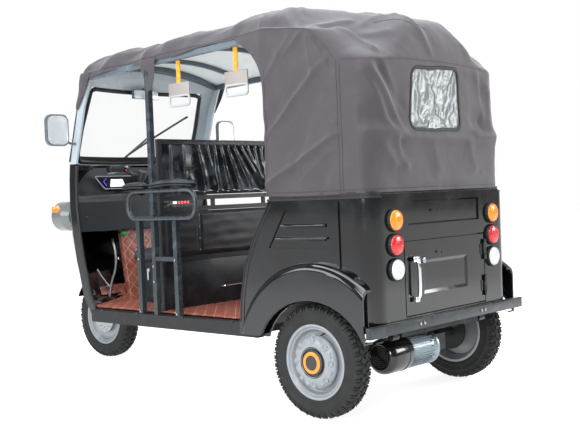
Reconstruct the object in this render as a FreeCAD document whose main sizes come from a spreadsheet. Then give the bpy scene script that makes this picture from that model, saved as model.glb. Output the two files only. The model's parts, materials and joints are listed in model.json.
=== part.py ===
"""Electric three-wheeled auto rickshaw, as an assembly of separate pieces.

Frame: +X is the vehicle's left side, +Y its rear, +Z up, with the origin on the
ground under the middle of the whole vehicle. All sizes are in millimetres.
"""
import FreeCAD, Part
import math
import os
import Sketcher
from FreeCAD import Placement, Rotation, Vector as V

doc = FreeCAD.newDocument("rickshaw")

# ---------------------------------------------------------------- driving sizes
SIZES = {
    # wheels and running gear
    "front_axle_y": -1165,
    "tyre_radius": 250, "tyre_width": 100, "bead_radius": 158, "rim_width": 84,
    "rim_dish": 22, "wheel_hub_radius": 34, "axle_radius": 8, "pin_gap": 0.05,
    "hub_cap_radius": 52, "hub_cap_depth": 22, "cover_radius": 118, "lug_depth": 8,
    "disc_radius": 92, "disc_wall": 4, "disc_offset": 36, "drum_radius": 96, "drum_width": 52,
    "axle_tube_radius": 30, "motor_radius": 82, "motor_length": 370, "motor_back": 132,
    "motor_offset": 115, "spring_width": 50, "spring_length": 500,
    "spring_leaf": 7, "spring_camber": 46,
    # steering
    "rake_run": 0.4045, "fork_trail": 30, "fork_half": 84, "fork_leg_radius": 15,
    "crown_height": 548, "column_radius": 20, "bar_height": 1118, "bar_half": 285,
    "bar_sweep": 55, "bar_radius": 11, "grip_radius": 17, "grip_length": 115,
    "guard_gap": 18, "guard_wall": 4, "guard_half": 60,
    # frame and floor
    "frame_tube": 42, "frame_top": 382, "floor_wall": 5, "mat_wall": 9,
    "sill_width": 40, "sill_bottom": 322, "sill_rise": 65,
    "floor_front": -690, "wall": 12,
    # rear body
    "body_half": 560, "body_back": 1389,
    "corner_radius": 90, "arch_half": 318, "arch_rise": 275,
    "fender_band": 132, "fender_round": 34, "fender_wall": 8,
    "housing_width": 150, "recess_depth": 6, "louvre_radius": 9,
    "hatch_low": 437, "hatch_gap": 6, "hatch_wall": 14,
    "lamp_radius": 43, "bezel_radius": 50, "bezel_depth": 20, "lens_depth": 9,
    "lamp_step": 106, "bumper_high": 48,
    "bumper_deep": 24, "bumper_low": 375,
    # roof and hood
    "rail_tube": 28, "rail_front": -560, "rail_front_top": 1690,
    "rail_rise": 42, "bow_rise": 88, "bow_tube": 22, "lining_wall": 5, "cloth_wall": 8,
    "roof_front": -770, "hem_drop": 12,
    "crown_top": 1866,
    "window_half": 222, "window_x": 24, "window_low": 1258, "window_high": 1532,
    # front shell
    "glass_low": 1216, "glass_high": 1640, "glass_wall": 6,
    "pillar_deep": 62, "pillar_wall": 14, "cowl_gap": 1,
    # cabin
    "post_tube": 28, "main_post_y": -52, "partition_y": -52,
    "partition_tube": 24,
    "partition_rail": 942, "panel_wall": 16,
    "seat_top": 705, "seat_pad": 70, "seat_front": -560, "seat_back": -160,
    "seat_half": 285, "seat_box_half": 250, "bench_top": 740,
    "bench_pad": 90, "bench_back_top": 1180,
}
# dependent sizes, each worked out by the sheet from the ones above
DERIVED = {
    "fender_half": "body_half + 58",
    "sill_half": "body_half - 18",
    "cab_half": "body_half - 60",
    "lamp_x": "body_half - 163",
    "hatch_half": "body_half - 235",
    "bumper_half": "body_half + 66",
    "rail_half": "body_half - 60",
    "roof_half": "body_half - 36",
    "hood_half": "body_half - 8",
    "glass_half": "body_half - 114",
    "post_half": "body_half - 40",
    "partition_half": "body_half - 90",
    "bench_half": "body_half - 188",
    "wheel_track": "2 * body_half - 30",
    "spring_x": "body_half - 205",
    "frame_half": "body_half - 268",
    "bumper_back": "body_back + 29",
    "hood_back": "body_back + 7",
    "hood_front": "body_back - 611",
    "bench_front": "body_back - 689",
    "floor_back": "body_back - 699",
    "rear_axle_y": "body_back - 311",
    "partition_split": "partition_rail + 58",
    "partition_top": "partition_rail + 358",
    "hatch_high": "hatch_low + 323",
    "body_top": "hatch_low + 520",
    "body_bottom": "hatch_low - 21",
    "side_bottom": "body_bottom - 79",
    "lamp_low": "hatch_low + 209",
    "hood_bottom": "body_top + 28",
    "floor_top": "frame_top + floor_wall",
    "mat_top": "floor_top + mat_wall",
}
sheet = doc.addObject("Spreadsheet::Sheet", "Sizes")
for row, (alias, value) in enumerate(list(SIZES.items()) + list(DERIVED.items()), start=1):
    sheet.set("A%d" % row, alias)
    sheet.set("B%d" % row, "=" + value if alias in DERIVED else str(value))
    sheet.setAlias("B%d" % row, alias)
doc.recompute()


class Sizes:
    """Reads a size from the sheet by its alias."""

    def __getattr__(self, alias):
        return float(sheet.get(alias))


s = Sizes()
NODES = []


# ---------------------------------------------------------------- makers
def piece(label, shape):
    """A sub-part whose shape is made with Part's own functions."""
    obj = doc.addObject("Part::Feature", label)
    obj.Label = label
    obj.Shape = shape
    obj.Placement = Placement()
    NODES.append(obj)
    return obj


def keep(obj, label):
    """Names a document object as a sub-part."""
    obj.Label = label
    NODES.append(obj)
    return obj


def aliases(text):
    """Puts the sheet's name before each alias of an expression."""
    for alias in sorted(list(SIZES) + list(DERIVED), key=len, reverse=True):
        text = text.replace("<" + alias + ">", "Sizes." + alias)
    return text


def origin_plane(body, role):
    """The body's own origin plane of that role, such as XY_Plane."""
    return [f for f in body.Origin.OriginFeatures if f.Role == role][0]


def revolved(name, outline, placement):
    """A PartDesign body: a closed outline of (radius, along) expressions, revolved about Z."""
    body = doc.addObject("PartDesign::Body", "Body_" + name)
    sketch = body.newObject("Sketcher::SketchObject", "Outline_" + name)
    sketch.AttachmentSupport = [(origin_plane(body, "XZ_Plane"), "")]
    sketch.MapMode = "FlatFace"
    count = len(outline)
    ring = [V(200 + 90 * math.cos(k * 2 * math.pi / count),
              90 * math.sin(k * 2 * math.pi / count), 0) for k in range(count)]
    for k in range(count):
        sketch.addGeometry(Part.LineSegment(ring[k], ring[(k + 1) % count]), False)
    for k in range(count):
        sketch.addConstraint(Sketcher.Constraint("Coincident", k, 2, (k + 1) % count, 1))
    for k, sizes in enumerate(outline):
        for kind, at, expression in zip(("DistanceX", "DistanceY"), (ring[k].x, ring[k].y), sizes):
            number = sketch.addConstraint(Sketcher.Constraint(kind, -1, 1, k, 1, at))
            sketch.setExpression("Constraints[%d]" % number, aliases(expression))
    turn = body.newObject("PartDesign::Revolution", "Turn_" + name)
    turn.Profile = sketch
    turn.ReferenceAxis = (sketch, ["V_Axis"])
    turn.Angle = 360
    body.Placement = placement
    return keep(body, name)


def wire(points):
    """A closed polygon through the points."""
    return Part.makePolygon([V(*p) for p in points] + [V(*points[0])])


def face(points):
    return Part.Face(wire(points))


def prism_x(outline, x0, x1):
    """A Y-Z outline pushed out along X from x0 to x1."""
    return face([(x0, y, z) for y, z in outline]).extrude(V(x1 - x0, 0, 0))


def prism_y(outline, y0, y1):
    """An X-Z outline pushed out along Y from y0 to y1."""
    return face([(x, y0, z) for x, z in outline]).extrude(V(0, y1 - y0, 0))


def prism_z(outline, z0, z1):
    """An X-Y outline pushed out along Z from z0 to z1."""
    return face([(x, y, z0) for x, y in outline]).extrude(V(0, 0, z1 - z0))


def box(x0, x1, y0, y1, z0, z1):
    return Part.makeBox(x1 - x0, y1 - y0, z1 - z0, V(x0, y0, z0))


def rod(start, end, radius):
    """A round bar from start to end."""
    a, b = V(*start), V(*end)
    return Part.makeCylinder(radius, (b - a).Length, a, b - a)


def mirrored(shape):
    """The same shape on the vehicle's other side."""
    return shape.mirror(V(0, 0, 0), V(1, 0, 0))


def both(shape):
    """A shape and its mirror image, as separate solids."""
    return Part.makeCompound([shape, mirrored(shape)])


def fused(shapes):
    whole = shapes[0].multiFuse(list(shapes[1:]))
    return whole.removeSplitter()


def bent_tube(points, radius, bend):
    """A round tube along straight runs joined by tangent arcs of the given bend radius."""
    pts = [V(*p) for p in points]
    edges, start = [], pts[0]
    for before, here, after in zip(pts, pts[1:], pts[2:]):
        d1, d2 = (here - before).normalize(), (after - here).normalize()
        half = d1.getAngle(d2) / 2
        setback = bend * math.tan(half)
        a, b = here - d1 * setback, here + d2 * setback
        middle = here + (d2 - d1).normalize() * (bend / math.cos(half) - bend)
        edges += [Part.LineSegment(start, a).toShape(), Part.Arc(a, middle, b).toShape()]
        start = b
    edges.append(Part.LineSegment(start, pts[-1]).toShape())
    path = Part.Wire(edges)
    ring = Part.Wire(Part.makeCircle(radius, pts[0], pts[1] - pts[0]))
    return path.makePipeShell([ring], True, False, 2)


def arch(y, half, low, rise, square):
    """A cross bow of square tube: a three-point arch in the plane at y."""
    outer = Part.Wire([Part.Arc(V(-half, y, low), V(0, y, low + rise), V(half, y, low)).toShape(),
                       Part.LineSegment(V(half, y, low), V(half, y, low - square)).toShape(),
                       Part.Arc(V(half, y, low - square), V(0, y, low + rise - square),
                                V(-half, y, low - square)).toShape(),
                       Part.LineSegment(V(-half, y, low - square), V(-half, y, low)).toShape()])
    return Part.Face(outer).extrude(V(0, square, 0))


# ---------------------------------------------------------------- wheels
def lathe_place(x, y, z, outward):
    """Turns a body's own Z axis to point along +X (outward 1) or -X (outward -1)."""
    return Placement(V(x, y, z), Rotation(V(0, 1, 0), 90 * outward))


def tyre(name, place):
    """A tyre's rounded section, revolved."""
    half, rim_half = "<tyre_width> / 2", "<rim_width> / 2"
    side = [("<bead_radius>", rim_half + " - 4"), ("<bead_radius> + 10", rim_half + " - 1"),
            ("<bead_radius> + 38", half), ("<tyre_radius> - 34", half),
            ("<tyre_radius> - 12", half + " - 7"), ("<tyre_radius> - 3", half + " - 18")]
    inner = [(r, "-(" + z + ")") for r, z in side]
    return revolved(name, inner + [("<tyre_radius>", "0")] + side[::-1], place)


def rim(name, place, hub_half):
    """A pressed steel wheel: drop-centre rim, dished disc and a bored hub."""
    bore, hub, bead = "<axle_radius> + <pin_gap>", "<wheel_hub_radius>", "<bead_radius>"
    half, dish = "<rim_width> / 2", "<rim_dish>"
    outline = [(bore, "-" + hub_half), (hub, "-" + hub_half), (hub, dish + " - 14"),
               (hub + " + 30", dish + " - 4"), (bead + " - 34", dish + " - 18"),
               (bead + " - 30", "22 - " + half), (bead + " - 10", "4 - " + half),
               (bead + " - 6", "-5 - " + half), (bead + " + 8", "-5 - " + half),
               (bead + " + 8", "-1 - " + half), (bead + " - 0.5", "-" + half),
               (bead + " - 0.5", half), (bead + " + 8", half + " + 1"),
               (bead + " + 8", half + " + 5"), (bead + " - 6", half + " + 5"),
               (bead + " - 12", half + " - 6"), (bead + " - 18", half + " - 24"),
               (bead + " - 28", half + " - 28"), (bead + " - 32", dish + " + 2"),
               (hub + " + 34", dish + " + 12"), (hub + " + 4", dish), (hub, hub_half),
               (bore, hub_half)]
    return revolved(name, outline, place)


def hub_cap(name, place):
    """A round cover over the wheel nuts with a raised centre cap."""
    cap, depth, seat = "<hub_cap_radius>", "<hub_cap_depth>", "<rim_dish> + 14"
    outline = [("0", seat + " + 8"), ("<cover_radius> - 40", seat + " + 8"),
               ("<cover_radius> - 22", seat + " - 6.5"), ("<cover_radius>", seat + " - 6.5"),
               ("<cover_radius> - 4", seat + " + 1"), ("<cover_radius> - 20", seat + " + 9"),
               (cap + " + 8", seat + " + 16"), (cap, seat + " + 14 + " + depth + " / 2"),
               (cap + " - 12", seat + " + 14 + " + depth), ("0", seat + " + 16 + " + depth)]
    return revolved(name, outline, place)


AXLE_Y, AXLE_Z = s.rear_axle_y, s.tyre_radius
for side, outward in (("left", 1), ("right", -1)):
    place = lathe_place(outward * s.wheel_track / 2, AXLE_Y, AXLE_Z, outward)
    tyre("rear_tyre_" + side, place)
    rim("rear_rim_" + side, place, "36")
    hub_cap("hub_cap_" + side, place)

FRONT = V(0, s.front_axle_y, s.tyre_radius)
front_place = lathe_place(0, FRONT.y, FRONT.z, -1)
tyre("front_tyre", front_place)
rim("front_rim", front_place, "44")


def front_disc():
    """The drilled brake disc on the hub's left end."""
    x0 = s.disc_offset
    disc = rod((x0, FRONT.y, FRONT.z), (x0 + s.disc_wall, FRONT.y, FRONT.z), s.disc_radius)
    holes = [rod((x0 - 1, FRONT.y, FRONT.z), (x0 + s.disc_wall + 1, FRONT.y, FRONT.z),
                 s.wheel_hub_radius + 0.2)]
    for turn in range(12):
        for ring, step in ((62, 0), (78, 15)):
            angle = math.radians(30 * turn + step)
            y, z = FRONT.y + ring * math.cos(angle), FRONT.z + ring * math.sin(angle)
            holes.append(rod((x0 - 1, y, z), (x0 + s.disc_wall + 1, y, z), 5))
    return disc.cut(holes)


piece("brake_disc", front_disc())


# ---------------------------------------------------------------- steering
FOOT = V(0, s.front_axle_y + s.fork_trail, s.tyre_radius)
STEER = V(0, s.rake_run, 1).normalize()


def on_column(z):
    """The point of the steering axis at height z."""
    return FOOT + V(0, s.rake_run, 1) * (z - FOOT.z)


def fork():
    """Column tube, crown and two legs, with the axle between the legs' feet."""
    crown = on_column(s.crown_height)
    top = on_column(s.bar_height)
    parts = [Part.makeCylinder(s.column_radius, (top - crown).Length, crown, STEER)]
    plate = Part.makeBox(2 * s.fork_half + 34, 40, 26,
                         V(-s.fork_half - 17, -20, -13))
    plate.Placement = Placement(crown, Rotation(V(0, 0, 1), STEER))
    parts.append(plate)
    foot = V(0, FRONT.y, FRONT.z)
    knee = crown - STEER * 70
    for side in (1, -1):
        x = V(side * s.fork_half, 0, 0)
        parts.append(rod(crown + x, knee + x, s.fork_leg_radius + 5))
        parts.append(rod(crown + x, foot + x, s.fork_leg_radius))
        parts.append(rod(foot + x - V(side * 17, 0, 0), foot + x + V(side * 15, 0, 0), 20))
    parts.append(rod((-s.fork_half, FRONT.y, FRONT.z), (s.fork_half, FRONT.y, FRONT.z),
                     s.axle_radius))
    return fused(parts)


def caliper():
    """The brake caliper: two halves astride the disc, tied behind its edge."""
    y, z = FRONT.y + 58, FRONT.z + 58
    disc = s.disc_offset + s.disc_wall / 2
    body = box(disc - 14, s.fork_half - 4, y - 30, y + 34, z - 28, z + 34)
    slot = box(disc - 8, disc + 8, y - 60, y + 31, z - 60, z + 31)
    return body.cut(slot)


def handlebar():
    """A clamp on the column and a swept bar with a grip at each end."""
    top = on_column(s.bar_height)
    back = V(0, s.bar_sweep, 0)
    half, reach = s.bar_half - s.grip_length, 70
    rise = V(0, 0, 34)
    middle = top + STEER * 22
    points = [middle + V(-s.bar_half, 0, 0) + back + rise, middle + V(-half, 0, 0) + back * 0.75 + rise,
              middle + V(-reach, 0, 0), middle + V(reach, 0, 0),
              middle + V(half, 0, 0) + back * 0.75 + rise, middle + V(s.bar_half, 0, 0) + back + rise]
    parts = [rod(a, b, s.bar_radius) for a, b in zip(points, points[1:])]
    parts += [Part.makeSphere(s.bar_radius, p) for p in points[1:-1]]
    for side in (0, -1):
        end, inner = points[side], points[1 if side == 0 else -2]
        along = (inner - end).normalize()
        parts.append(rod(end, end + along * s.grip_length, s.grip_radius))
        parts.append(Part.makeBox(44, 34, 40, end + along * (s.grip_length + 22) - V(22, 20, 20)))
    parts.append(Part.makeCylinder(s.column_radius + 8, 44, top, STEER))
    return fused(parts)


def front_guard():
    """The mudguard: a curved strip over the tyre, hung from the crown by a bracket."""
    inner = s.tyre_radius + s.guard_gap
    outer = inner + s.guard_wall
    ring = Part.makeCylinder(outer, 2 * s.guard_half, FRONT - V(s.guard_half, 0, 0), V(1, 0, 0))
    bore = Part.makeCylinder(inner, 2 * s.guard_half + 2, FRONT - V(s.guard_half + 1, 0, 0),
                             V(1, 0, 0))
    strip = ring.cut(bore)
    big = 2 * outer
    y, z = FRONT.y, FRONT.z
    front = (y - big, z + big * math.tan(math.radians(28)))
    rear = (y + big, z + big * math.tan(math.radians(2)))
    keep_zone = prism_x([(y, z), rear, (y + big, z + 2 * big), (y - big, z + 2 * big), front],
                        -s.guard_half - 1, s.guard_half + 1)
    strip = strip.common(keep_zone)
    crown = on_column(s.crown_height)
    bracket = Part.makeBox(40, 6, 300, V(-20, -3, -300))
    bracket.Placement = Placement(crown - STEER * 13.3, Rotation(V(0, 0, 1), STEER))
    bracket = bracket.cut(Part.makeCylinder(inner + 1, 60, FRONT - V(30, 0, 0), V(1, 0, 0)))
    bracket = bracket.common(prism_x([(y, z), (y + big, z), (y + big, z + big), (y, z + big)], -30, 30))
    return fused([strip, bracket])


piece("fork", fused([fork(), caliper()]))
piece("handlebar", handlebar().cut(doc.getObject("fork").Shape))
piece("front_mudguard", front_guard())


# ---------------------------------------------------------------- front shell
# stations of the cab's front: height, where its side edge stands, how far its nose bows out
SHELL = [(330, -640, 140), (450, -724, 150), (573, -753, 160), (650, -775, 285),
         (800, -803, 305), (973, -819, 290), (1120, -813, 225), (1216, -801, 180),
         (1342, -761, 155), (1508, -710, 125), (1640, -655, 100), (1706, -619, 85), (1800, -590, 75)]


def shell_solid(inset, back):
    """The cab's front as a solid: an arc in plan at each station, flat behind."""
    half = s.cab_half - inset
    rings = []
    for z, edge, bow in SHELL:
        nose = Part.Arc(V(-half, edge + inset, z), V(0, edge - bow + inset, z),
                        V(half, edge + inset, z)).toShape()
        rear = edge + back
        rest = Part.makePolygon([V(half, edge + inset, z), V(half, rear, z), V(-half, rear, z),
                                 V(-half, edge + inset, z)])
        rings.append(Part.Wire([nose] + rest.Edges))
    return Part.makeLoft(rings, True, True)


def rail_arch(half, low, y0, y1):
    """Everything below the roof's arch, from y0 to y1."""
    arc = Part.Arc(V(-half, y0, low), V(0, y0, low + s.bow_rise), V(half, y0, low)).toShape()
    rest = Part.makePolygon([V(half, y0, low), V(half, y0, 0), V(-half, y0, 0), V(-half, y0, low)])
    return Part.Face(Part.Wire([arc] + rest.Edges)).extrude(V(0, y1 - y0, 0))


SHELL_IN = shell_solid(s.wall, s.pillar_deep + 30)
SHELL_WALL = shell_solid(0, s.pillar_deep).cut(SHELL_IN)
far = 3000
glass_opening = prism_y([(-s.glass_half, s.glass_low), (s.glass_half, s.glass_low),
                         (s.glass_half - 26, s.glass_high), (26 - s.glass_half, s.glass_high)],
                        -far, -500)
column_way = Part.makeCylinder(42, 900, on_column(420), STEER)
above = box(-far, far, -far, far, s.glass_low - 12, far)
below = box(-far, far, -far, far, 0, s.glass_low - 12)
brow = rail_arch(s.cab_half + 4, 1686, -1300, -300)
piece("windscreen_frame", SHELL_WALL.common(above).common(brow).cut(glass_opening))
keel_way = box(-150, 150, -1000, -500, 0, 395)
piece("front_cowl", SHELL_WALL.common(below).cut([column_way, keel_way]))

# the glass stands in the opening, midway through the frame's wall
middle = (s.wall - s.glass_wall) / 2
pane = shell_solid(middle, 0).cut(shell_solid(middle + s.glass_wall, 40))
piece("windscreen_glass", pane.common(glass_opening.common(above)))


def dashboard():
    """A moulded panel: ledge, upright face for the instruments, and a hollow back."""
    outline = [(-1010, 815), (-775, 815), (-760, 985), (-790, 1020), (-905, 1035),
               (-945, 1190), (-1010, 1190)]
    inner = [(-1100, 803), (-788, 827), (-773, 981), (-796, 1008), (-914, 1024),
             (-956, 1178), (-1100, 1178)]
    half = s.cab_half
    solid = prism_x(outline, -half, half).cut(prism_x(inner, -half, half))
    return solid.common(shell_solid(s.wall + s.cowl_gap, s.pillar_deep + 60)).cut(column_way)


piece("dashboard", dashboard())


def cluster():
    """The instrument pod: a trapezoid housing that leans back on the dash's upright face."""
    low, high, z0, z1 = 150, 215, 1046, 1140
    y0, y1 = -907.4, -931.7
    back = wire([(-low, y0, z0), (low, y0, z0), (high, y1, z1), (-high, y1, z1)])
    front = wire([(8 - low, y0 + 30, z0 + 12), (low - 8, y0 + 30, z0 + 12),
                  (high - 12, y1 + 30, z1 + 2), (12 - high, y1 + 30, z1 + 2)])
    return Part.makeLoft([back, front], True, True)


piece("instrument_cluster", cluster().cut(column_way))


def headlamp(side):
    """One lamp pod: a round shell that stands out of the cowl's corner."""
    pod = Part.makeCone(70, 88, 60, V(side * 345, -960, 905), V(0, -1, 0))
    pod = pod.fuse(Part.makeCylinder(88, 90, V(side * 345, -1020, 905), V(0, -1, 0)))
    return pod.cut(Part.makeCylinder(78, 20, V(side * 345, -1095, 905), V(0, -1, 0)))


outer_shell = shell_solid(-0.3, s.pillar_deep)
piece("headlamp_pods", Part.makeCompound([headlamp(1).cut(outer_shell),
                                          headlamp(-1).cut(outer_shell)]))


# ---------------------------------------------------------------- frame and floor
def floor_slab(gap, low, thick):
    """A slab with the floor's plan: square behind, and bowed to the front shell ahead."""
    half = s.cab_half - s.wall - gap
    front = s.floor_front
    back = s.floor_back
    arc = Part.Arc(V(-half, front, low), V(0, front - 118 + gap, low), V(half, front, low)).toShape()
    rest = Part.makePolygon([V(half, front, low), V(half, back, low), V(-half, back, low),
                             V(-half, front, low)])
    slab = Part.Face(Part.Wire([arc] + rest.Edges)).extrude(V(0, 0, thick))
    return slab.common(shell_solid(s.wall + gap, 1500))


piece("floor_pan", floor_slab(0.5, s.frame_top, s.floor_wall))


def chassis_frame():
    """Two long tubes, cross members, and the box sills under the doorways."""
    t, top, half = s.frame_tube, s.frame_top, s.frame_half
    low = top - t
    front, back = -660, s.body_back - 40
    parts = [box(x - t / 2, x + t / 2, front, back, low, top) for x in (-half, half)]
    rows = (front, -300, s.main_post_y - 21, 300, s.floor_back - t)
    sill_in = s.sill_half - s.sill_width
    parts += [box(-sill_in, sill_in, y, y + t, low, top) for y in rows[1:]]
    parts.append(box(7 - s.cab_half, s.cab_half - 7, front, front + t, low, top))
    parts += [box(-half, half, y, y + t, low, top) for y in (s.rear_axle_y + 120, back - t)]
    for x in (-s.sill_half, sill_in):
        parts.append(box(x, x + s.sill_width, -600, s.floor_back, s.sill_bottom,
                         s.sill_bottom + s.sill_rise))
    mid = top - t / 2
    stay = [(0, front + t, mid), (0, -850, mid), (0, -897, 450), (0, -950, 548), (0, -985, 602)]
    parts += [rod(a, b, 14) for a, b in zip(stay, stay[1:])]
    parts += [Part.makeSphere(14, V(*p)) for p in stay[1:-1]]
    whole = fused(parts)
    head = on_column(s.crown_height + 32)
    tube = Part.makeCylinder(s.column_radius + 15, 240, head, STEER)
    way = Part.makeCylinder(s.column_radius + 0.3, 400, head - STEER * 50, STEER)
    return whole.fuse(tube).cut([way, doc.getObject("front_cowl").Shape])


piece("chassis_frame", chassis_frame())


def mats():
    """The quilted mat on the floor and the quilted cover over the steering column."""
    mat = floor_slab(2, s.floor_top, s.mat_wall)
    low = s.mat_top
    cover = prism_x([(-812, low), (-770, low), (-838, 812), (-880, 812)], -125, 125)
    cover = cover.cut(prism_x([(-900, low + 10), (-784, low + 10), (-852, 813), (-900, 813)],
                              -112, 112))
    return Part.makeCompound([mat, cover.common(shell_solid(s.wall + 2, 1500))])


piece("quilted_mats", mats())


# ---------------------------------------------------------------- rear body
def arch_curve(x, grow, low=0):
    """The wheel opening's outline at x: a half ellipse about the axle, closed below."""
    a, b = s.arch_half + grow, s.arch_rise + grow
    y0, z0 = s.rear_axle_y, s.tyre_radius
    steps = 16
    pts = [(x, y0 - a * math.cos(math.pi * k / steps), z0 + b * math.sin(math.pi * k / steps))
           for k in range(steps + 1)]
    return pts + [(x, y0 + a, low), (x, y0 - a, low)]


def arch_solid(x0, x1, grow):
    return face(arch_curve(x0, grow)).extrude(V(x1 - x0, 0, 0))


# the side panel's front edge, from its top corner down to the sill
SIDE_FRONT = [(s.body_back - back, s.side_bottom + up) for back, up in
              ((582, 620), (689, 453), (749, 328), (783, 183), (802, 0))]
SIDE_FAR = s.body_back + 100


def side_wall():
    """The side panel in plan, straight and then round the rear corner, cut to its outline."""
    half, wall, r = s.body_half, s.wall, s.corner_radius
    back = s.body_back
    y1 = back - r
    front = SIDE_FRONT[-1][0] - 87
    cx = half - r
    d = math.sqrt(0.5)
    outer = [Part.LineSegment(V(half, front, 0), V(half, y1, 0)).toShape(),
             Part.Arc(V(half, y1, 0), V(cx + r * d, y1 + r * d, 0), V(cx, back, 0)).toShape()]
    ri = r - wall
    inner = [Part.LineSegment(V(cx, back, 0), V(cx, back - wall, 0)).toShape(),
             Part.Arc(V(cx, back - wall, 0), V(cx + ri * d, y1 + ri * d, 0),
                      V(half - wall, y1, 0)).toShape(),
             Part.LineSegment(V(half - wall, y1, 0), V(half - wall, front, 0)).toShape(),
             Part.LineSegment(V(half - wall, front, 0), V(half, front, 0)).toShape()]
    slab = Part.Face(Part.Wire(outer + inner)).extrude(V(0, 0, s.body_top))
    outline = SIDE_FRONT + [(s.rear_axle_y, s.side_bottom), (s.rear_axle_y, s.body_bottom),
                            (SIDE_FAR, s.body_bottom), (SIDE_FAR, s.body_top)]
    return slab.common(prism_x(outline, 0, SIDE_FAR))


def fender(shrink):
    """The bulge round the wheel: an arch outline with its outer edge well rounded."""
    z_foot = s.side_bottom + 11 + shrink
    y0 = s.rear_axle_y
    a, b = s.arch_half + s.fender_band - shrink, s.arch_rise + s.fender_band + 28 - shrink
    z0 = s.tyre_radius
    x0, x1 = s.body_half - 2 - shrink, s.fender_half - shrink
    low = (z_foot - z0) / b
    start = math.asin(low)
    steps = 6
    turn = [start + (math.pi - 2 * start) * k / steps for k in range(steps + 1)]
    pts = [V(x0, y0 - a * math.cos(t), z0 + b * math.sin(t)) for t in turn]
    arcs = [Part.Arc(pts[k], pts[k + 1], pts[k + 2]).toShape() for k in range(0, steps, 2)]
    foot = Part.LineSegment(pts[-1], pts[0]).toShape()
    solid = Part.Face(Part.Wire(arcs + [foot])).extrude(V(x1 - x0, 0, 0))
    rims = [e for e in solid.Edges if abs(e.CenterOfMass.x - x1) < 0.1
            and e.CenterOfMass.z > z_foot + 30]
    return solid.makeFillet(s.fender_round, rims)


def body_side():
    """One side: wall, corner and hollow fender, with the wheel opening and a louvred recess."""
    wall = side_wall()
    bulge = fender(0)
    inside = fender(s.fender_wall)
    opening = arch_solid(300, 700, 0)
    back_limit = box(0, 700, 0, s.body_back - 12, s.side_bottom, 2000)
    shell = bulge.cut(inside).common(back_limit)
    half = s.body_half
    back, top = s.body_back, s.body_top
    recess = prism_x([(back - 484, top - 45), (back - 211, top - 49), (back - 229, top - 212),
                      (back - 589, top - 212)], half - s.recess_depth, half + 5)
    recess = recess.cut(fender(-6))
    wall = wall.cut(recess)
    panel = wall.fuse(shell).cut(opening)
    ribs = [rod((half - s.recess_depth, y0, z), (half - s.recess_depth, y1, z), s.louvre_radius)
            for y0, y1, z in ((back - 509, back - 248, top - 111), (back - 543, back - 251, top - 170))]
    outside = box(half - s.recess_depth - 1, half + 20, 0, 2000, 0, 2000)
    ribs = [r.common(outside) for r in ribs]
    flange = box(half - 1, half + 7, back - 184, back - 167, s.body_bottom + 150, top - 8).cut(fender(0))
    return panel.multiFuse(ribs + [flange]).cut(opening).removeSplitter()


left_side = body_side()
piece("body_sides", both(left_side))


def wheel_housing():
    """The curved sheet over one rear wheel, inside the body."""
    x1 = s.body_half - s.wall - 0.3
    x0 = x1 - s.housing_width
    barrel = arch_solid(x0, x1, 3).cut(arch_solid(x0 + 4, x1 + 1, -1))
    low = box(0, 700, 0, 2000, s.side_bottom + 60, 1000)
    return barrel.common(low).cut(left_side)


piece("wheel_housings", both(wheel_housing()))


HINGE_R = 7
HINGE_Y = s.body_back + HINGE_R + 0.3
HINGE_ROWS = (s.hatch_low + 50, s.hatch_high - 100)


def rear_panel():
    """The flat panel between the corners: hatch opening, pressed recess and lamp seats."""
    half = s.body_half - s.corner_radius - 0.3
    back, wall = s.body_back, s.wall
    panel = box(-half, half, back - wall, back, s.body_bottom, s.body_top)
    g = s.hatch_gap
    cuts = [box(-s.hatch_half - g, s.hatch_half + g, 0, 2000, s.hatch_low - g, s.hatch_high + g),
            prism_x([(back - 7, s.body_top - 119), (back + 1, s.body_top - 127),
                     (back + 1, s.body_top - 19), (back - 7, s.body_top - 27)],
                    35 - s.hatch_half, s.hatch_half - 35)]
    panel = panel.cut(cuts)
    jamb = box(-half + 10, half - 10, back - wall - 26, back - wall, s.hatch_low - 20 - g,
               s.hatch_high + 20 + g)
    jamb = jamb.cut(box(-s.hatch_half + 12, s.hatch_half - 12, 0, 2000, s.hatch_low + 12,
                        s.hatch_high - 12))
    jamb = jamb.cut(box(-s.hatch_half - g, s.hatch_half + g, back - wall - 5, 2000,
                        s.hatch_low - g, s.hatch_high + g))
    lip = box(-half, half, back - 34, back + 4, s.body_top, s.body_top + 14)
    x = -s.hatch_half
    pins = []
    for z in HINGE_ROWS:
        for z0, z1 in ((z - 24, z - 0.3), (z + 50.3, z + 74)):
            pins.append(rod((x + 4, HINGE_Y, z0), (x + 4, HINGE_Y, z1), HINGE_R))
            pins.append(box(x - 20, x - 3.5, back - 1, back + 3, z0, z1))
            pins.append(box(x - 8, x + 2, back + 3, back + 10, z0, z1))
    return fused([panel, jamb, lip] + pins)


piece("rear_panel", rear_panel())

LAMPS = {"amber_lenses": 2, "red_lenses": 1, "clear_lenses": 0}


def lamp_ring(side, z):
    back = s.body_back + 0.2
    ring = rod((side * s.lamp_x, back, z), (side * s.lamp_x, back + s.bezel_depth, z),
               s.bezel_radius)
    return ring.cut(rod((side * s.lamp_x, back + 8, z), (side * s.lamp_x, back + 99, z),
                        s.lamp_radius + 1))


def lens(side, z):
    y = s.body_back + 8.4
    base = rod((side * s.lamp_x, y, z), (side * s.lamp_x, y + s.bezel_depth - 8, z), s.lamp_radius)
    dome = Part.makeSphere(110, V(side * s.lamp_x, y + s.bezel_depth + s.lens_depth - 8 - 110, z))
    tall = rod((side * s.lamp_x, y, z), (side * s.lamp_x, y + 60, z), s.lamp_radius)
    return tall.common(dome.fuse(base)).removeSplitter()


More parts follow.
